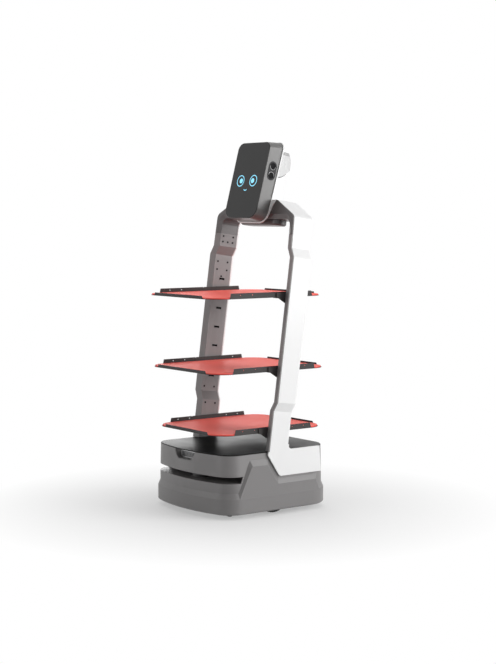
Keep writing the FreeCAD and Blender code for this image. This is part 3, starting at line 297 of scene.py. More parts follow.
# ---------------------------------------- geometry nodes
def grow(name, group_inputs):
    """A geometry node tree with named inputs; gives the tree, its input and its output node."""
    tree = bpy.data.node_groups.new(name, "GeometryNodeTree")
    tree.interface.new_socket("Geometry", in_out="INPUT", socket_type="NodeSocketGeometry")
    for label, kind, value in group_inputs:
        socket = tree.interface.new_socket(label, in_out="INPUT", socket_type=kind)
        if kind != "NodeSocketMaterial":
            socket.default_value = value
    tree.interface.new_socket("Geometry", in_out="OUTPUT", socket_type="NodeSocketGeometry")
    start = tree.nodes.new("NodeGroupInput")
    end = tree.nodes.new("NodeGroupOutput")
    return tree, start, end


def deliver(tree, start, end, instances):
    """Turns instances into a mesh, gives it the group's material and sends it to the output."""
    real = add(tree, "GeometryNodeRealizeInstances", {}, {"Geometry": (instances, "Instances")})
    coat = add(tree, "GeometryNodeSetMaterial", {}, {"Geometry": (real, "Geometry"),
                                                     "Material": (start, "Material")})
    tree.links.new(coat.outputs["Geometry"], end.inputs[0])


def point_cloud(name, points, attribute, vectors):
    """A mesh of loose points, each with a vector under the attribute's name."""
    mesh = bpy.data.meshes.new(name)
    mesh.from_pydata(points, [], [])
    field = mesh.attributes.new(attribute, "FLOAT_VECTOR", "POINT")
    for i, vector in enumerate(vectors):
        field.data[i].vector = vector
    return mesh


def bake(tree, name, values, material, slot=None, points=None):
    """Runs a tree on an object and keeps the result as a plain mesh that rides on the robot."""
    mesh = points or bpy.data.meshes.new(name + "_seed")
    seed = bpy.data.objects.new(name + "_seed", mesh)
    bpy.context.scene.collection.objects.link(seed)
    modifier = seed.modifiers.new("build", "NODES")
    modifier.node_group = tree
    for item in tree.interface.items_tree:
        if item.in_out == "INPUT" and item.name in values:
            modifier[item.identifier] = values[item.name]
        if item.in_out == "INPUT" and item.name == "Material":
            modifier[item.identifier] = material
    graph = bpy.context.evaluated_depsgraph_get()
    graph.update()
    result = bpy.data.meshes.new_from_object(seed.evaluated_get(graph))
    bpy.data.objects.remove(seed)
    result.name = name
    return mesh_object(name, result, material, slot=slot)


def islands(node):
    """Centres of the separate solids of a CAD node."""
    bm = bmesh.new()
    bm.from_mesh(NODES[node].data)
    bmesh.ops.remove_doubles(bm, verts=bm.verts, dist=1e-6)
    left = set(bm.verts)
    found = []
    while left:
        todo = [left.pop()]
        members = []
        while todo:
            vert = todo.pop()
            members.append(vert.co.copy())
            for edge in vert.link_edges:
                other = edge.other_vert(vert)
                if other in left:
                    left.remove(other)
                    todo.append(other)
        low = Vector([min(c[i] for c in members) for i in range(3)])
        high = Vector([max(c[i] for c in members) for i in range(3)])
        found.append((low + high) / 2)
    bm.free()
    return found


# ---------------------------------------- operators
class RobotOperator(bpy.types.Operator):
    bl_options = {"REGISTER", "UNDO"}

    @property
    def colours(self):
        return bpy.context.scene.robot_colours

    @property
    def details(self):
        return bpy.context.scene.robot_details


class ROBOT_OT_base(RobotOperator):
    """Finish the base: grey shells, glossy top, dark slot and camera pocket"""
    bl_idname = "robot.base"
    bl_label = "Base"

    def execute(self, context):
        c = self.colours
        # ABS moulded against a spark-eroded tool: satin, with a fine even grain
        shell = surface("moulded_grey_abs", c.shell, 0.42, 1.1, 0.05, edge=0.3, IOR=1.52)
        dress(shell, "lower_shell", "upper_shell", "side_panel_left", "side_panel_right", "camera_pocket")
        # acrylic sheet with a silk finish over black: dark, with soft reflections only
        top = surface("satin_black_acrylic", c.gloss, 0.45, 4.0, 0.001, tone=0.02, IOR=1.49,
                      **{"Specular IOR Level": 0.12})
        dress(top, "top_cover")
        # dark ABS from the same kind of tool: duller, its grain breaks up the highlights
        dark = surface("moulded_dark_abs", "#3B3939", 0.5, 1.0, 0.05, IOR=1.52)
        dress(dark, "charge_block", "laser_body", "power_button")
        # polycarbonate tinted smoke grey: smooth, with clear reflections
        window = surface("smoked_polycarbonate", "#5A5A5B", 0.2, 30.0, 0.01, IOR=1.58)
        dress(window, "front_camera", "laser_rotor")
        # brass rolled bright, for sprung contacts: warm metal with narrow highlights
        dress(surface("rolled_brass", "#C9A45A", 0.28, 0.8, 0.01, Metallic=1.0), "charge_contacts")
        # aluminium plate as the mill leaves it: pale metal, its shine softly blurred
        dress(surface("mill_aluminium", "#B9BABB", 0.42, 0.9, 0.02, Metallic=1.0), "chassis_plate")
        # blasted aluminium castings: grey metal with wide, dull highlights
        dress(surface("cast_motor_aluminium", "#77787A", 0.55, 1.4, 0.08, Metallic=1.0), "drive_motor_left",
              "drive_motor_right", "drive_computer")
        # black ABS case: dark and even, with hardly any shine
        dress(surface("battery_abs", "#2B2C2E", 0.55, 1.2, 0.05), "battery")
        return {"FINISHED"}


class ROBOT_OT_camera(RobotOperator):
    """Bright frame and lenses of the depth camera in the front recess"""
    bl_idname = "robot.camera"
    bl_label = "Depth camera"

    def execute(self, context):
        low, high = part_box("front_camera")
        flange = 4 * MM
        half = high[0] - flange
        tall = (high[2] - low[2]) / 2 - flange
        middle = (high[2] + low[2]) / 2
        face = low[1]
        # ABS plated with satin chrome: bright metal, a little blurred
        bright = surface("satin_chromed_abs", "#C9C9CA", 0.3, 1.0, 0.01, Metallic=1.0)
        bm = bmesh.new()
        width = 1.8 * MM
        proud = 1.6 * MM
        corner = 5 * MM
        steps = 32
        rows = []
        for i in range(steps):
            a = math.tau * (i + 0.5) / steps
            cx = math.copysign(half - corner, math.cos(a))
            cz = math.copysign(tall - corner, math.sin(a))
            row = []
            for out, y in ((corner, face), (corner, face - proud), (corner - width, face - proud),
                           (corner - width, face)):
                row.append(bm.verts.new((cx + out * math.cos(a), y, middle + cz + out * math.sin(a))))
            rows.append(row)
        skin(bm, rows)
        solid("camera_frame", bm, bright, slot="zinc_steel")
        # coated glass over a dark barrel: grey, with one small sharp highlight
        glass = surface("coated_lens_glass", "#4A4A4C", 0.15, 20.0, 0.005, IOR=1.52)
        large = 5.5 * MM
        small = 3.5 * MM
        sunk = -0.2 * MM
        bm = bmesh.new()
        for x, radius in ((-30 * MM, large), (-9 * MM, small), (12 * MM, small), (30 * MM, large)):
            dome = [(0, 0.55 * MM), (radius * 0.45, 0.5 * MM), (radius * 0.8, 0.3 * MM), (radius, 0.0),
                    (radius, sunk), (0, sunk)]
            turned(bm, facing((x, face, middle), (0, -1, 0)), dome, steps)
        solid("camera_lenses", bm, glass, smooth=True, slot="gloss_black")
        return {"FINISHED"}


class ROBOT_OT_running_gear(RobotOperator):
    """Finish the drive wheels and casters"""
    bl_idname = "robot.running_gear"
    bl_label = "Running gear"

    def execute(self, context):
        # rubber as it leaves the mould: near black and dry, with a coarse grain
        rubber = surface("moulded_rubber", "#232323", 0.8, 1.5, 0.15, tone=0.12)
        dress(rubber, *[n for n in NODES if n.startswith("caster_wheel")])
        for side in ("left", "right"):
            self.tyre(side, rubber)
        # tumbled aluminium castings: mid-grey metal with wide highlights
        dress(surface("cast_hub_aluminium", "#9A9B9D", 0.45, 1.2, 0.06, Metallic=1.0), "wheel_hub_left",
              "wheel_hub_right")
        # pressed steel under bright zinc: cool metal with slightly blurred reflections
        dress(surface("zinc_plated_steel", "#A9AAAC", 0.34, 2.0, 0.02, Metallic=1.0),
              *[n for n in NODES if n.startswith("caster_fork")])
        return {"FINISHED"}

    def tyre(self, side, rubber):
        """A tyre with cross grooves, in the space of the plain one."""
        low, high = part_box("tyre_" + side)
        middle = (Vector(low) + Vector(high)) / 2
        radius = (high[2] - low[2]) / 2
        hub_low, hub_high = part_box("wheel_hub_" + side)
        rim = (hub_high[2] - hub_low[2]) / 2
        half = (high[0] - low[0]) / 2
        lip = 3 * MM
        crown = 5 * MM
        groove = 1.6 * MM
        profile = [(rim, lip - half), (rim + lip, -half), (radius - crown, -half), (radius, -half + crown),
                   (radius, half - crown), (radius - crown, half), (rim + lip, half), (rim, half - lip)]
        bm = bmesh.new()
        spread = 3      # steps from one groove to the next
        turned(bm, facing(middle, (1, 0, 0)), profile, spread * self.details.tread_blocks, closed=True,
               dip=lambda i: -groove if i % spread == 0 else 0.0)
        tyre = solid("tyre_tread_" + side, bm, rubber, body="wheel_" + side)
        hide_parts("tyre_" + side)


class ROBOT_OT_arch(RobotOperator):
    """Finish the legs, their white covers and the beam"""
    bl_idname = "robot.arch"
    bl_label = "Arch"

    def execute(self, context):
        c = self.colours
        # steel pressings under a fine satin powder coat: an even grey with lighter corners
        coat = surface("satin_powder_coat", c.leg, 0.46, 0.9, 0.06, edge=0.3)
        dress(coat, "leg_frame_left", "leg_frame_right")
        # painted shade: the beam and its pod take a darker grey than the legs, standing for the shade under the
        # head; a little smoother, with a clearer shine
        dress(surface("beam_painted_shade_coat", c.beam, 0.36, 0.9, 0.04), "beam_frame", "beam_pod")
        # ABS with a white paint and a soft clear coat over it: clean white, a second fine shine
        white = surface("painted_white_abs", c.cover, 0.34, 2.4, 0.012, tone=0.01, IOR=1.5,
                        **{"Coat Weight": 0.25, "Coat Roughness": 0.12})
        dress(white, "leg_cover_left", "leg_cover_right", "roof_cover", "neck")
        # painted shade: the module is drawn pale grey rather than white, for the shade it lies in behind the
        # head; no clear coat, the same soft shine, nothing over it
        dress(surface("module_painted_shade_grey", c.module, 0.34, 2.4, 0.012, tone=0.01, IOR=1.5), "rear_module")
        # painted shade: the lid's grey stands for the shade on the module's top face; even, with wider
        # highlights than the paint
        dress(surface("lid_painted_shade_grey", c.lid, 0.4, 1.4, 0.02, tone=0.02, IOR=1.5), "module_cap")
        return {"FINISHED"}


class ROBOT_OT_screws(RobotOperator):
    """Button-head screws with hexagon sockets in the inner faces of the legs"""
    bl_idname = "robot.screws"
    bl_label = "Screws"

    def execute(self, context):
        d = self.details
        floor = 0.5 * MM      # of the socket, above the foot of the head
        tree, start, end = grow("button_head_screws", [
            ("Head radius", "NodeSocketFloat", d.screw_radius),
            ("Head height", "NodeSocketFloat", 1.2 * MM),
            ("Socket radius", "NodeSocketFloat", d.socket_radius),
            ("Material", "NodeSocketMaterial", None)])
        body = add(tree, "GeometryNodeMeshCylinder", {"Vertices": 20}, {
            "Radius": (start, "Head radius"), "Depth": (start, "Head height")})
        socket = add(tree, "GeometryNodeMeshCylinder", {"Vertices": 6}, {
            "Radius": (start, "Socket radius"), "Depth": (start, "Head height")})
        raised = add(tree, "GeometryNodeTransform", {"Translation": (0, 0, floor)},
                     {"Geometry": (socket, "Mesh")})
        cut = add(tree, "GeometryNodeMeshBoolean", {}, {"Mesh 1": (body, "Mesh"),
                                                        "Mesh 2": (raised, "Geometry")},
                  operation="DIFFERENCE")
        outward = add(tree, "GeometryNodeInputNamedAttribute", {"Name": "facing"}, data_type="FLOAT_VECTOR")
        turn = add(tree, "FunctionNodeAlignRotationToVector", {}, {"Vector": (outward, "Attribute")}, axis="Z")
        place = add(tree, "GeometryNodeInstanceOnPoints", {}, {
            "Points": (start, "Geometry"), "Instance": (cut, "Mesh"), "Rotation": (turn, "Rotation")})
        deliver(tree, start, end, place)
        # the heads stand a little way out of their counterbores
        rise = 1.8 * MM
        spots = [p - Vector((math.copysign(rise, p.x), 0, 0)) for p in islands("leg_screws")]
        mesh = point_cloud("screw_spots", [tuple(p) for p in spots], "facing",
                           [(-math.copysign(1, p.x), 0, 0) for p in spots])
        # blackened steel: near black, with only a faint glint
        steel = surface("black_oxide_steel", "#0E0E0F", 0.55, 1.0, 0.02, **{"Specular IOR Level": 0.2})
        piece = bake(tree, "leg_screw_heads", {}, steel, slot="zinc_steel", points=mesh)
        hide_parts("leg_screws")
        self.chassis_screws(tree)
        return {"FINISHED"}

    def chassis_screws(self, tree):
        """Screws in the underside of the chassis plate."""
        low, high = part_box("chassis_plate")
        inset = 16 * MM
        front_inset = 22 * MM
        margin = 90 * MM      # from the plate's ends to the first and the last screw of a side
        across = 100 * MM
        proud = 0.4 * MM
        pairs = 4
        spots = []
        for i in range(pairs):
            y = low[1] + margin + i * (high[1] - low[1] - 2 * margin) / (pairs - 1)
            spots += [(high[0] - inset, y), (low[0] + inset, y)]
        spots += [(s * across, y) for s in (1, -1) for y in (low[1] + front_inset, high[1] - inset)]
        mesh = point_cloud("chassis_spots", [(x, y, low[2] - proud) for x, y in spots], "facing",
                           [(0, 0, -1)] * len(spots))
        # turned steel under bright zinc: small clear glints
        zinc = surface("zinc_plated_screws", "#A9AAAC", 0.34, 1.0, 0.02, Metallic=1.0)
        bake(tree, "chassis_screw_heads", {"Head radius": 4.5 * MM, "Head height": 2.0 * MM,
                                           "Socket radius": 2.0 * MM}, zinc, slot="zinc_steel", points=mesh)


class ROBOT_OT_trays(RobotOperator):
    """Finish the trays, their mats and brackets"""
    bl_idname = "robot.trays"
    bl_label = "Trays"

    def execute(self, context):
        c = self.colours
        # steel sheet under a textured coat: dark and dry, with light only along the corners
        steel = surface("textured_powder_coat", c.tray, 0.55, 1.0, 0.06, edge=0.4,
                        **{"Specular IOR Level": 0.25})
        dress(steel, *[n for n in NODES if n.startswith(("tray_pan", "tray_bracket"))])
        # cast silicone sheet: soft, matt, a slight bloom at a glancing angle
        mat = surface("red_silicone", c.mat, 0.55, 2.2, 0.04, tone=0.03, IOR=1.41,
                      **{"Specular IOR Level": 0.4, "Sheen Weight": 0.9, "Sheen Roughness": 0.5,
                         "Sheen Tint": linear("#FF7E74")})
        dress(mat, *[n for n in NODES if n.startswith("tray_mat")])
        for level in ("top", "middle", "bottom"):
            self.joiners(level, steel)
        return {"FINISHED"}

    def joiners(self, level, steel):
        """Thin strips inside the side lips of a tray, which carry them past the brackets."""
        thick = 0.8 * MM
        sheet = 1.6 * MM
        lap = 9 * MM
        slant = 5 * MM
        pan_low, pan_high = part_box("tray_pan_" + level)
        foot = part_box("tray_mat_" + level)[0][2]
        for side in ("left", "right"):
            low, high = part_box("tray_bracket_" + level + "_" + side)
            edge = pan_high[0] if side == "left" else pan_low[0]
            out = math.copysign(1, edge)
            fore, back = low[1] - lap, high[1] + lap
            line = [(fore, foot), (fore + slant, pan_high[2]), (back - slant, pan_high[2]), (back, foot)]
            bm = bmesh.new()
            skin(bm, [[bm.verts.new((edge - out * depth, y, z)) for y, z in line]
                      for depth in (sheet + thick, sheet)], ring=False)
            solid("lip_joiner_" + level + "_" + side, bm, steel, slot="tray_steel")


class ROBOT_OT_slots(RobotOperator):
    """Black sleeves in the shelf slots that no bracket uses: painted shade that makes each slot look deep"""
    bl_idname = "robot.slots"
    bl_label = "Slot sleeves"

    def execute(self, context):
        through = 3 * MM      # added to the hollow, so that it comes out through the collar
        proud = 0.3 * MM      # of a sleeve's front end, out of the leg's inner face
        tree, start, end = grow("slot_shade_sleeves", [
            ("Length", "NodeSocketFloat", 21.8 * MM),
            ("Height", "NodeSocketFloat", 4.8 * MM),
            ("Depth", "NodeSocketFloat", SLEEVE_DEPTH),
            ("Wall", "NodeSocketFloat", 0.35 * MM),
            ("Collar", "NodeSocketFloat", 2.6 * MM),
            ("Collar thickness", "NodeSocketFloat", 0.6 * MM),
            ("Material", "NodeSocketMaterial", None)])
        size = add(tree, "ShaderNodeCombineXYZ", {}, {"X": (start, "Depth"), "Y": (start, "Length"),
                                                      "Z": (start, "Height")})
        wall = add(tree, "ShaderNodeCombineXYZ", {}, {axis: (start, "Wall") for axis in "XYZ"})
        twice = add(tree, "ShaderNodeVectorMath", {"Scale": -2.0}, {0: (wall, 0)}, operation="SCALE")
        room = add(tree, "ShaderNodeVectorMath", {}, {0: (size, 0), 1: (twice, 0)}, operation="ADD")
        deep = add(tree, "ShaderNodeVectorMath", {1: (through, 0, 0)}, {0: (room, 0)}, operation="ADD")
        block = add(tree, "GeometryNodeMeshCube", {}, {"Size": (size, 0)})
        hollow = add(tree, "GeometryNodeMeshCube", {}, {"Size": (deep, 0)})
        opened = add(tree, "GeometryNodeTransform", {"Translation": (-through / 2, 0, 0)},
                     {"Geometry": (hollow, "Mesh")})
        wide = add(tree, "ShaderNodeMath", {}, {0: (start, "Length"), 1: (start, "Collar")}, operation="ADD")
        tall = add(tree, "ShaderNodeMath", {}, {0: (start, "Height"), 1: (start, "Collar")}, operation="ADD")
        face = add(tree, "ShaderNodeCombineXYZ", {}, {"X": (start, "Collar thickness"), "Y": (wide, 0),
                                                      "Z": (tall, 0)})
        plate = add(tree, "GeometryNodeMeshCube", {}, {"Size": (face, 0)})
        front = add(tree, "ShaderNodeMath", {1: -0.5}, {0: (start, "Depth")}, operation="MULTIPLY")
        fore = add(tree, "ShaderNodeCombineXYZ", {}, {"X": (front, 0)})
        collar = add(tree, "GeometryNodeTransform", {}, {"Geometry": (plate, "Mesh"), "Translation": (fore, 0)})
        whole = add(tree, "GeometryNodeMeshBoolean", {}, {"Mesh 2": (block, "Mesh")}, operation="UNION")
        tree.links.new(collar.outputs["Geometry"], whole.inputs["Mesh 2"])
        sleeve = add(tree, "GeometryNodeMeshBoolean", {}, {"Mesh 1": (whole, "Mesh"),
                                                           "Mesh 2": (opened, "Geometry")},
                     operation="DIFFERENCE")
        turn = add(tree, "GeometryNodeInputNamedAttribute", {"Name": "turn"}, data_type="FLOAT_VECTOR")
        rotation = add(tree, "FunctionNodeEulerToRotation", {}, {"Euler": (turn, "Attribute")})
        place = add(tree, "GeometryNodeInstanceOnPoints", {}, {
            "Points": (start, "Geometry"), "Instance": (sleeve, "Mesh"), "Rotation": (rotation, "Rotation")})
        deliver(tree, start, end, place)
        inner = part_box("tray_pan_middle")[1][0] + TRAY_GAP
        spots = []
        turns = []
        for z in FREE_SLOTS:
            y = LEG_FRONT + (SLOT_BACK + z * math.sin(LEG_LEAN)) / math.cos(LEG_LEAN)
            for side in (1, -1):
                spots.append((side * (inner - proud + SLEEVE_DEPTH / 2), y, z))
                turns.append((-side * LEG_LEAN, 0, 0 if side > 0 else math.pi))
        mesh = point_cloud("slot_spots", spots, "turn", turns)
        # painted shade: a near-black sleeve stands for the shade inside each slot, taking up nearly all light,
        # so each slot looks open and deep
        black = surface("slot_painted_shade", "#060606", 0.8, 1.0, 0.02, **{"Specular IOR Level": 0.1})
        bake(tree, "slot_shade_sleeves", {}, black, slot="matte_black", points=mesh)
        return {"FINISHED"}


class ROBOT_OT_head(RobotOperator):
    """Finish the head: glass, housing, trims"""
    bl_idname = "robot.head"
    bl_label = "Head"

    def execute(self, context):
        c = self.colours
        # glass printed black from behind: a deep, even dark with quiet reflections
        glass = surface("printed_black_glass", c.glass, 0.2, 80.0, 0.01, tone=0.02, IOR=1.52,
                        **{"Specular IOR Level": 0.25})
        dress(glass, "head_glass")
        # painted ABS: an even grey with a soft shine
        housing = surface("painted_grey_abs", c.head, 0.36, 1.2, 0.03, IOR=1.5)
        dress(housing, "head_housing")
        # ABS in a pale silver paint: bright, but without the mirror of metal
        dress(surface("silver_painted_abs", c.rim, 0.3, 1.2, 0.02, IOR=1.5), "head_back", "neck_plate")
        # bare dark ABS: dull, so the grilles stand out from it
        dress(surface("speaker_abs", "#3A3A3B", 0.6, 1.0, 0.05, **{"Specular IOR Level": 0.2}),
              "speaker_trim_left", "speaker_trim_right")
        # glass of the display: smooth and nearly black
        dress(surface("display_glass", "#101114", 0.2, 40.0, 0.01), "display_panel")
        # green solder mask: half-gloss, uneven where copper lies under it
        dress(surface("solder_mask", "#1E5A34", 0.4, 8.0, 0.05, tone=0.2), "head_board")
        # lacquered ABS: clean white, with a soft highlight along the bead
        self.bead(surface("white_lacquered_abs", "#F4F4F4", 0.3, 1.2, 0.01, tone=0.01, IOR=1.5))
        self.groove_shade()
        return {"FINISHED"}

    def bead(self, white):
        """Bright bead round the edge of the head's back cover; its measures are in mm."""
        front, rear = 54.2, 58.6      # depths of its faces
        inner, outer = 1.0, 3.6       # how far it stands out of the housing
        across, along = 0.5, 0.6      # of its bevels
        bm = bmesh.new()
        rows = []
        for out, v in ((inner, front), (outer - across, front), (outer, front + along),
                       (outer, rear - along), (outer - across, rear), (inner, rear)):
            rows.append([bm.verts.new(head_matrix() @ p) for p in self.outline(out, v)])
        skin(bm, rows)
        solid("head_bead", bm, white, slot="trim_silver")

    def outline(self, out, v):
        """Rounded outline of the head at depth v, standing out by `out`, both in mm; points in metres."""
        front, depth = 3.0, 52.0            # of the housing, behind the glass
        foot, crown = -3.5, 296.5           # its lower and upper edges at the front
        foot_radius, crown_radius = 42.0, 30.0
        rise = 14.0                         # of the upper edge, from front to back
        room = 1.15                         # free above the upper edge
        under = 1.5                         # share of `out` by which it stands out below
        slant = 0.0267                      # of the back against the front
        steps = 12                          # in each corner
        deep = (v - front) / depth
        low = foot - out * under
        top = crown + min(out, room) + rise * deep
        half = 100.0 + out
        points = []
        for x, w, r, a in ((half, low, foot_radius, -90), (half, top, crown_radius, 0),
                           (-half, top, crown_radius, 90), (-half, low, foot_radius, 180)):
            r += out
            cx = x - math.copysign(r, x)
            cw = w + r if w == low else w - r
            for i in range(steps + 1):
                t = math.radians(a + i * 90 / steps)
                px, pw = cx + r * math.cos(t), cw + r * math.sin(t)
                points.append(Vector((px, v + slant * deep * (pw - foot), pw)) * MM)
        return points

    def groove_shade(self):
        """Dark strip in the groove between the neck and the rear module: painted shade for the groove's own
        shadow.
        """
        low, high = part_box("rear_module")
        inset = 2.5 * MM
        gap = 2.5 * MM
        taper = 12 * MM       # each side, at the rear end
        level = 146 * MM      # front end of the groove above the glass's lower edge
        climb = ((144.5, 4.0), (161.5, 7.0), (181.5, 17.0), (195.0, 26.1))    # backwards and up, in mm
        start = HEAD_PLACE + Vector((0, 0, level))
        line = [(low[1] + inset, start.z)] + [(start.y + y * MM, start.z + z * MM) for y, z in climb]
        bm = bmesh.new()
        rows = []
        for y, z in line:
            half = high[0] - inset - (taper if (y, z) == line[-1] else 0.0)
            rows.append([bm.verts.new((x, y, z + up)) for x, up in ((-half, 0), (half, 0), (half, gap),
                                                                   (-half, gap))])
        skin(bm, rows, ring=False)
        # painted shade: a dark strip stands for the shade inside the groove; dry, with no highlight
        rubber = surface("groove_painted_shade", "#333333", 0.85, 1.2, 0.08)
        solid("groove_shade_strip", bm, rubber, slot="tyre_black")


class ROBOT_OT_speakers(RobotOperator):
    """Perforations painted as dark holes, and bright half rings painted as highlights, on the four speaker
    grilles
    """
    bl_idname = "robot.speakers"
    bl_label = "Speaker grilles"

    def execute(self, context):
        d = self.details
        holes_across = 19
        tree, start, end = grow("speaker_perforations", [
            ("Hole radius", "NodeSocketFloat", d.grille_hole),
            ("Pitch", "NodeSocketFloat", d.grille_pitch),
            ("Grille radius", "NodeSocketFloat", 11.4 * MM),
            ("Material", "NodeSocketMaterial", None)])
        # a square grid turned into staggered rows, kept where it lies inside the grille
        span = add(tree, "ShaderNodeMath", {1: holes_across - 1}, {0: (start, "Pitch")}, operation="MULTIPLY")
        grid = add(tree, "GeometryNodeMeshGrid", {"Vertices X": holes_across, "Vertices Y": holes_across},
                   {"Size X": (span, 0), "Size Y": (span, 0)})
        index = add(tree, "GeometryNodeInputIndex")
        odd = add(tree, "ShaderNodeMath", {1: 2.0}, {0: (index, 0)}, operation="MODULO")
        shift = add(tree, "ShaderNodeMath", {1: 0.5}, {0: (odd, 0)}, operation="MULTIPLY")
        stagger = add(tree, "ShaderNodeMath", {}, {0: (shift, 0), 1: (start, "Pitch")}, operation="MULTIPLY")
        offset = add(tree, "ShaderNodeCombineXYZ", {}, {"X": (stagger, 0)})
        moved = add(tree, "GeometryNodeSetPosition", {}, {"Geometry": (grid, "Mesh"), "Offset": (offset, 0)})
        where = add(tree, "GeometryNodeInputPosition")
        reach = add(tree, "ShaderNodeVectorMath", {}, {0: (where, 0)}, operation="LENGTH")
        outside = add(tree, "FunctionNodeCompare", {}, {0: (reach, "Value"), 1: (start, "Grille radius")},
                      operation="GREATER_THAN")
        kept = add(tree, "GeometryNodeDeleteGeometry", {}, {"Geometry": (moved, "Geometry"),
                                                            "Selection": (outside, 0)})
        points = add(tree, "GeometryNodeMeshToPoints", {}, {"Mesh": (kept, "Geometry")})
        hole = add(tree, "GeometryNodeMeshCylinder", {"Vertices": 10, "Depth": 0.3 * MM},
                   {"Radius": (start, "Hole radius")})
        holes = add(tree, "GeometryNodeInstanceOnPoints", {}, {"Points": (points, "Points"),
                                                               "Instance": (hole, "Mesh")})
        deliver(tree, start, end, holes)
        # painted shade: flat near-black discs stand for the dark inside of each punched hole
        dark = surface("hole_painted_shade", "#050505", 0.9, 2.0, 0.01)
        # painted highlight: pale half rings stand for the light arcs on the grilles, with a soft highlight
        bright = surface("grille_painted_highlight", "#B9B9BA", 0.35, 1.0, 0.01)
        # acoustic cloth: black and dry, with a coarse weave
        cloth = surface("woven_grille_cloth", "#242425", 0.85, 1.0, 0.1, **{"Specular IOR Level": 0.15})
        out, back, height = 100.8 * MM, 32.8 * MM, 190 * MM      # middle of a pair of grilles
        apart = 17.5 * MM                                        # from there to each grille
        ring_radius, ring_width, ring_thick = 12.8 * MM, 1.3 * MM, 0.5 * MM
        disc_radius, disc_thick = 12.6 * MM, 0.15 * MM
        disc = [(0, disc_thick), (disc_radius, disc_thick), (disc_radius, 0), (0, 0)]
        rings = bmesh.new()
        discs = bmesh.new()
        perforations = bmesh.new()
        for side in (1, -1):
            for up in (apart, -apart):
                centre = Vector((side * out, back, height + up))
                place = head_matrix() @ facing(centre, (side, 0, 0))
                # painted highlight: only the halves that face each other are drawn, where the light arcs fall;
                # the outer halves end in the trim's edge
                begin = math.pi if up > 0 else 0.0
                band(rings, place, ring_radius, ring_width, ring_thick, begin, begin + math.pi)
                turned(discs, place, disc)
                piece = bake(tree, "grille_seed", {}, dark)
                piece.data.transform(place)
                perforations.from_mesh(piece.data)
                bpy.data.objects.remove(piece)
        solid("grille_highlight_arcs", rings, bright, slot="zinc_steel")
        solid("grille_discs", discs, cloth, slot="matte_black")
        mesh = bpy.data.meshes.new("grille_holes")
        perforations.to_mesh(mesh)
        perforations.free()
        mesh_object("grille_holes", mesh, dark, slot="matte_black")
        return {"FINISHED"}


class ROBOT_OT_face(RobotOperator):
    """Lit rings, dots and a short arc on the screen"""
    bl_idname = "robot.face"
    bl_label = "Screen lines"

    def execute(self, context):
        d = self.details
        # display cells lit behind clear glass: an even pale blue that shines by itself
        lit = lamp_surface("lit_screen", self.colours.face, 0.85)
        bm = bmesh.new()
        height = 143.7 * MM       # of the rings
        thick = 0.2 * MM
        squint = 4 * MM           # of the dots, towards the middle
        dot = 0.22 * d.eye_radius
        dot_width = 0.4 * d.eye_radius
        drop = 28 * MM            # from the rings to the arc's centre
        arc_radius = 10 * MM

        def on_glass(x, w):
            return head_matrix() @ facing((x, 0, w), (0, -1, 0))

        for side in (1, -1):
            x = side * d.eye_gap / 2
            band(bm, on_glass(x, height), d.eye_radius - d.line / 2, d.line, thick)
            band(bm, on_glass(x - side * squint, height), dot, dot_width, thick)
        band(bm, on_glass(0, height - drop), arc_radius, d.line, thick, math.radians(215), math.radians(325))
        solid("screen_lines", bm, lit, slot="gloss_black")
        return {"FINISHED"}


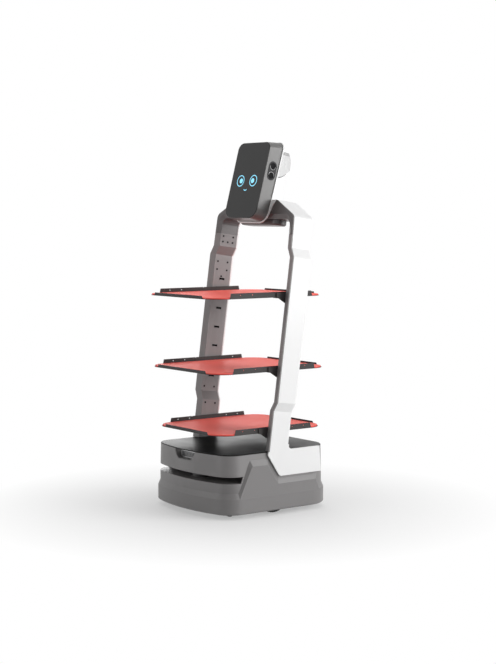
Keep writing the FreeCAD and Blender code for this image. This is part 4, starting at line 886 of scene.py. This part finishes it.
class ROBOT_OT_stage(RobotOperator):
    """Pale floor, plain soft light and the camera"""
    bl_idname = "robot.stage"
    bl_label = "Stage"

    def execute(self, context):
        self.world()
        self.floor()
        self.lamps()
        self.camera()
        context.scene.view_settings.view_transform = "Standard"
        return {"FINISHED"}

    def world(self):
        """Plain white to the camera and in reflections, and a dim even light on everything else."""
        world = bpy.data.worlds.new("studio")
        world.use_nodes = True
        tree = world.node_tree
        tree.nodes.clear()
        path = add(tree, "ShaderNodeLightPath")
        seen = add(tree, "ShaderNodeMath", {}, {0: (path, "Is Camera Ray"), 1: (path, "Is Glossy Ray")},
                   operation="MAXIMUM")
        shown = add(tree, "ShaderNodeMath", {}, {0: (seen, 0), 1: (path, "Is Transmission Ray")},
                    operation="MAXIMUM")
        level = add(tree, "ShaderNodeMapRange", {"To Min": bpy.context.scene.robot_stage.fill, "To Max": 1.0},
                    {"Value": (shown, 0)})
        light = add(tree, "ShaderNodeBackground", {"Color": (1, 1, 1, 1)}, {"Strength": (level, "Result")})
        add(tree, "ShaderNodeOutputWorld", {}, {"Surface": (light, 0)})
        bpy.context.scene.world = world

    def floor(self):
        """A pale disc, soft shadow near the robot and plain white farther out."""
        radius = 30.0
        bm = bmesh.new()
        bmesh.ops.create_circle(bm, cap_ends=True, segments=96, radius=radius)
        mesh = bpy.data.meshes.new("floor")
        bm.to_mesh(mesh)
        bm.free()
        floor = bpy.data.objects.new("floor", mesh)
        bpy.context.scene.collection.objects.link(floor)
        # matt white floor paint: it takes a soft shadow and shows no reflection
        material, tree = new_material("painted_floor")
        place = add(tree, "ShaderNodeTexCoord")
        away = add(tree, "ShaderNodeVectorMath", {}, {0: (place, "Object")}, operation="LENGTH")
        fade = add(tree, "ShaderNodeMapRange", {"From Min": 0.25, "From Max": 1.05, "To Min": 0.36,
                                                "To Max": 1.0}, {"Value": (away, "Value")})
        matt = add(tree, "ShaderNodeBsdfDiffuse", {"Color": linear("#F4F4F4")})
        glow = add(tree, "ShaderNodeEmission", {"Color": (1, 1, 1, 1), "Strength": 1.0})
        path = add(tree, "ShaderNodeLightPath")
        seen = add(tree, "ShaderNodeMath", {}, {0: (path, "Is Camera Ray"), 1: (path, "Is Glossy Ray")},
                   operation="MAXIMUM")
        share = add(tree, "ShaderNodeMath", {}, {0: (seen, 0), 1: (fade, "Result")}, operation="MULTIPLY")
        mix = add(tree, "ShaderNodeMixShader", {}, {0: (share, 0), 1: (matt, 0), 2: (glow, 0)})
        add(tree, "ShaderNodeOutputMaterial", {}, {"Surface": (mix, 0)})
        mesh.materials.append(material)

    def lamp(self, name, position, aim, size, power):
        """A round area lamp at a position, turned to its aim."""
        data = bpy.data.lights.new(name, "AREA")
        data.shape = "DISK"
        data.size = size
        data.energy = power
        lamp = bpy.data.objects.new(name, data)
        bpy.context.scene.collection.objects.link(lamp)
        lamp.location = position
        lamp.rotation_mode = "QUATERNION"
        lamp.rotation_quaternion = (Vector(aim) - Vector(position)).to_track_quat("-Z", "Y")

    def lamps(self):
        key = bpy.context.scene.robot_stage.key
        middle = (0.0, 0.0, 0.7)
        self.lamp("key", (7.6, 6.2, 2.6), middle, 8.0, key)
        self.lamp("top", (0.5, 0.5, 8.0), middle, 6.0, key * 0.14)
        self.lamp("side", (-7.2, 3.0, 2.8), middle, 5.0, key * 0.22)
        self.lamp("front", (-3.0, -7.8, 1.9), middle, 5.0, key * 0.15)

    def camera(self):
        s = bpy.context.scene.robot_stage
        data = bpy.data.cameras.new("camera")
        camera = bpy.data.objects.new("camera", data)
        bpy.context.scene.collection.objects.link(camera)
        azimuth = math.radians(s.azimuth)
        elevation = math.radians(s.elevation)
        back = Vector((math.sin(azimuth) * math.cos(elevation), -math.cos(azimuth) * math.cos(elevation),
                       math.sin(elevation)))
        aim = Vector((0.0, 0.008, 0.67358))      # middle of the robot
        camera.location = aim + back * s.distance
        camera.rotation_mode = "QUATERNION"
        camera.rotation_quaternion = (-back).to_track_quat("-Z", "Y")
        data.lens = s.lens
        data.sensor_width = 36.0
        data.shift_x = 0.0128
        bpy.context.scene.camera = camera


class ROBOT_PT_panel(bpy.types.Panel):
    bl_label = "Delivery robot"
    bl_idname = "ROBOT_PT_panel"
    bl_space_type = "VIEW_3D"
    bl_region_type = "UI"
    bl_category = "Robot"

    def draw(self, context):
        for operator in STEPS:
            self.layout.operator(operator.bl_idname)
        for group in (context.scene.robot_colours, context.scene.robot_details, context.scene.robot_stage):
            for name in group.__annotations__:
                self.layout.prop(group, name)


STEPS = (ROBOT_OT_base, ROBOT_OT_camera, ROBOT_OT_running_gear, ROBOT_OT_arch, ROBOT_OT_screws,
         ROBOT_OT_slots, ROBOT_OT_trays, ROBOT_OT_head, ROBOT_OT_speakers, ROBOT_OT_face, ROBOT_OT_stage)
GROUPS = (RobotColours, RobotDetails, RobotStage)


def register():
    for cls in GROUPS + STEPS + (ROBOT_PT_panel,):
        bpy.utils.register_class(cls)
    bpy.types.Scene.robot_colours = PointerProperty(type=RobotColours)
    bpy.types.Scene.robot_details = PointerProperty(type=RobotDetails)
    bpy.types.Scene.robot_stage = PointerProperty(type=RobotStage)


def unregister():
    del bpy.types.Scene.robot_stage
    del bpy.types.Scene.robot_details
    del bpy.types.Scene.robot_colours
    for cls in reversed(GROUPS + STEPS + (ROBOT_PT_panel,)):
        bpy.utils.unregister_class(cls)


def main():
    register()
    for operator in STEPS:
        area, name = operator.bl_idname.split(".")
        getattr(getattr(bpy.ops, area), name)()


if __name__ == "__main__":
    main()
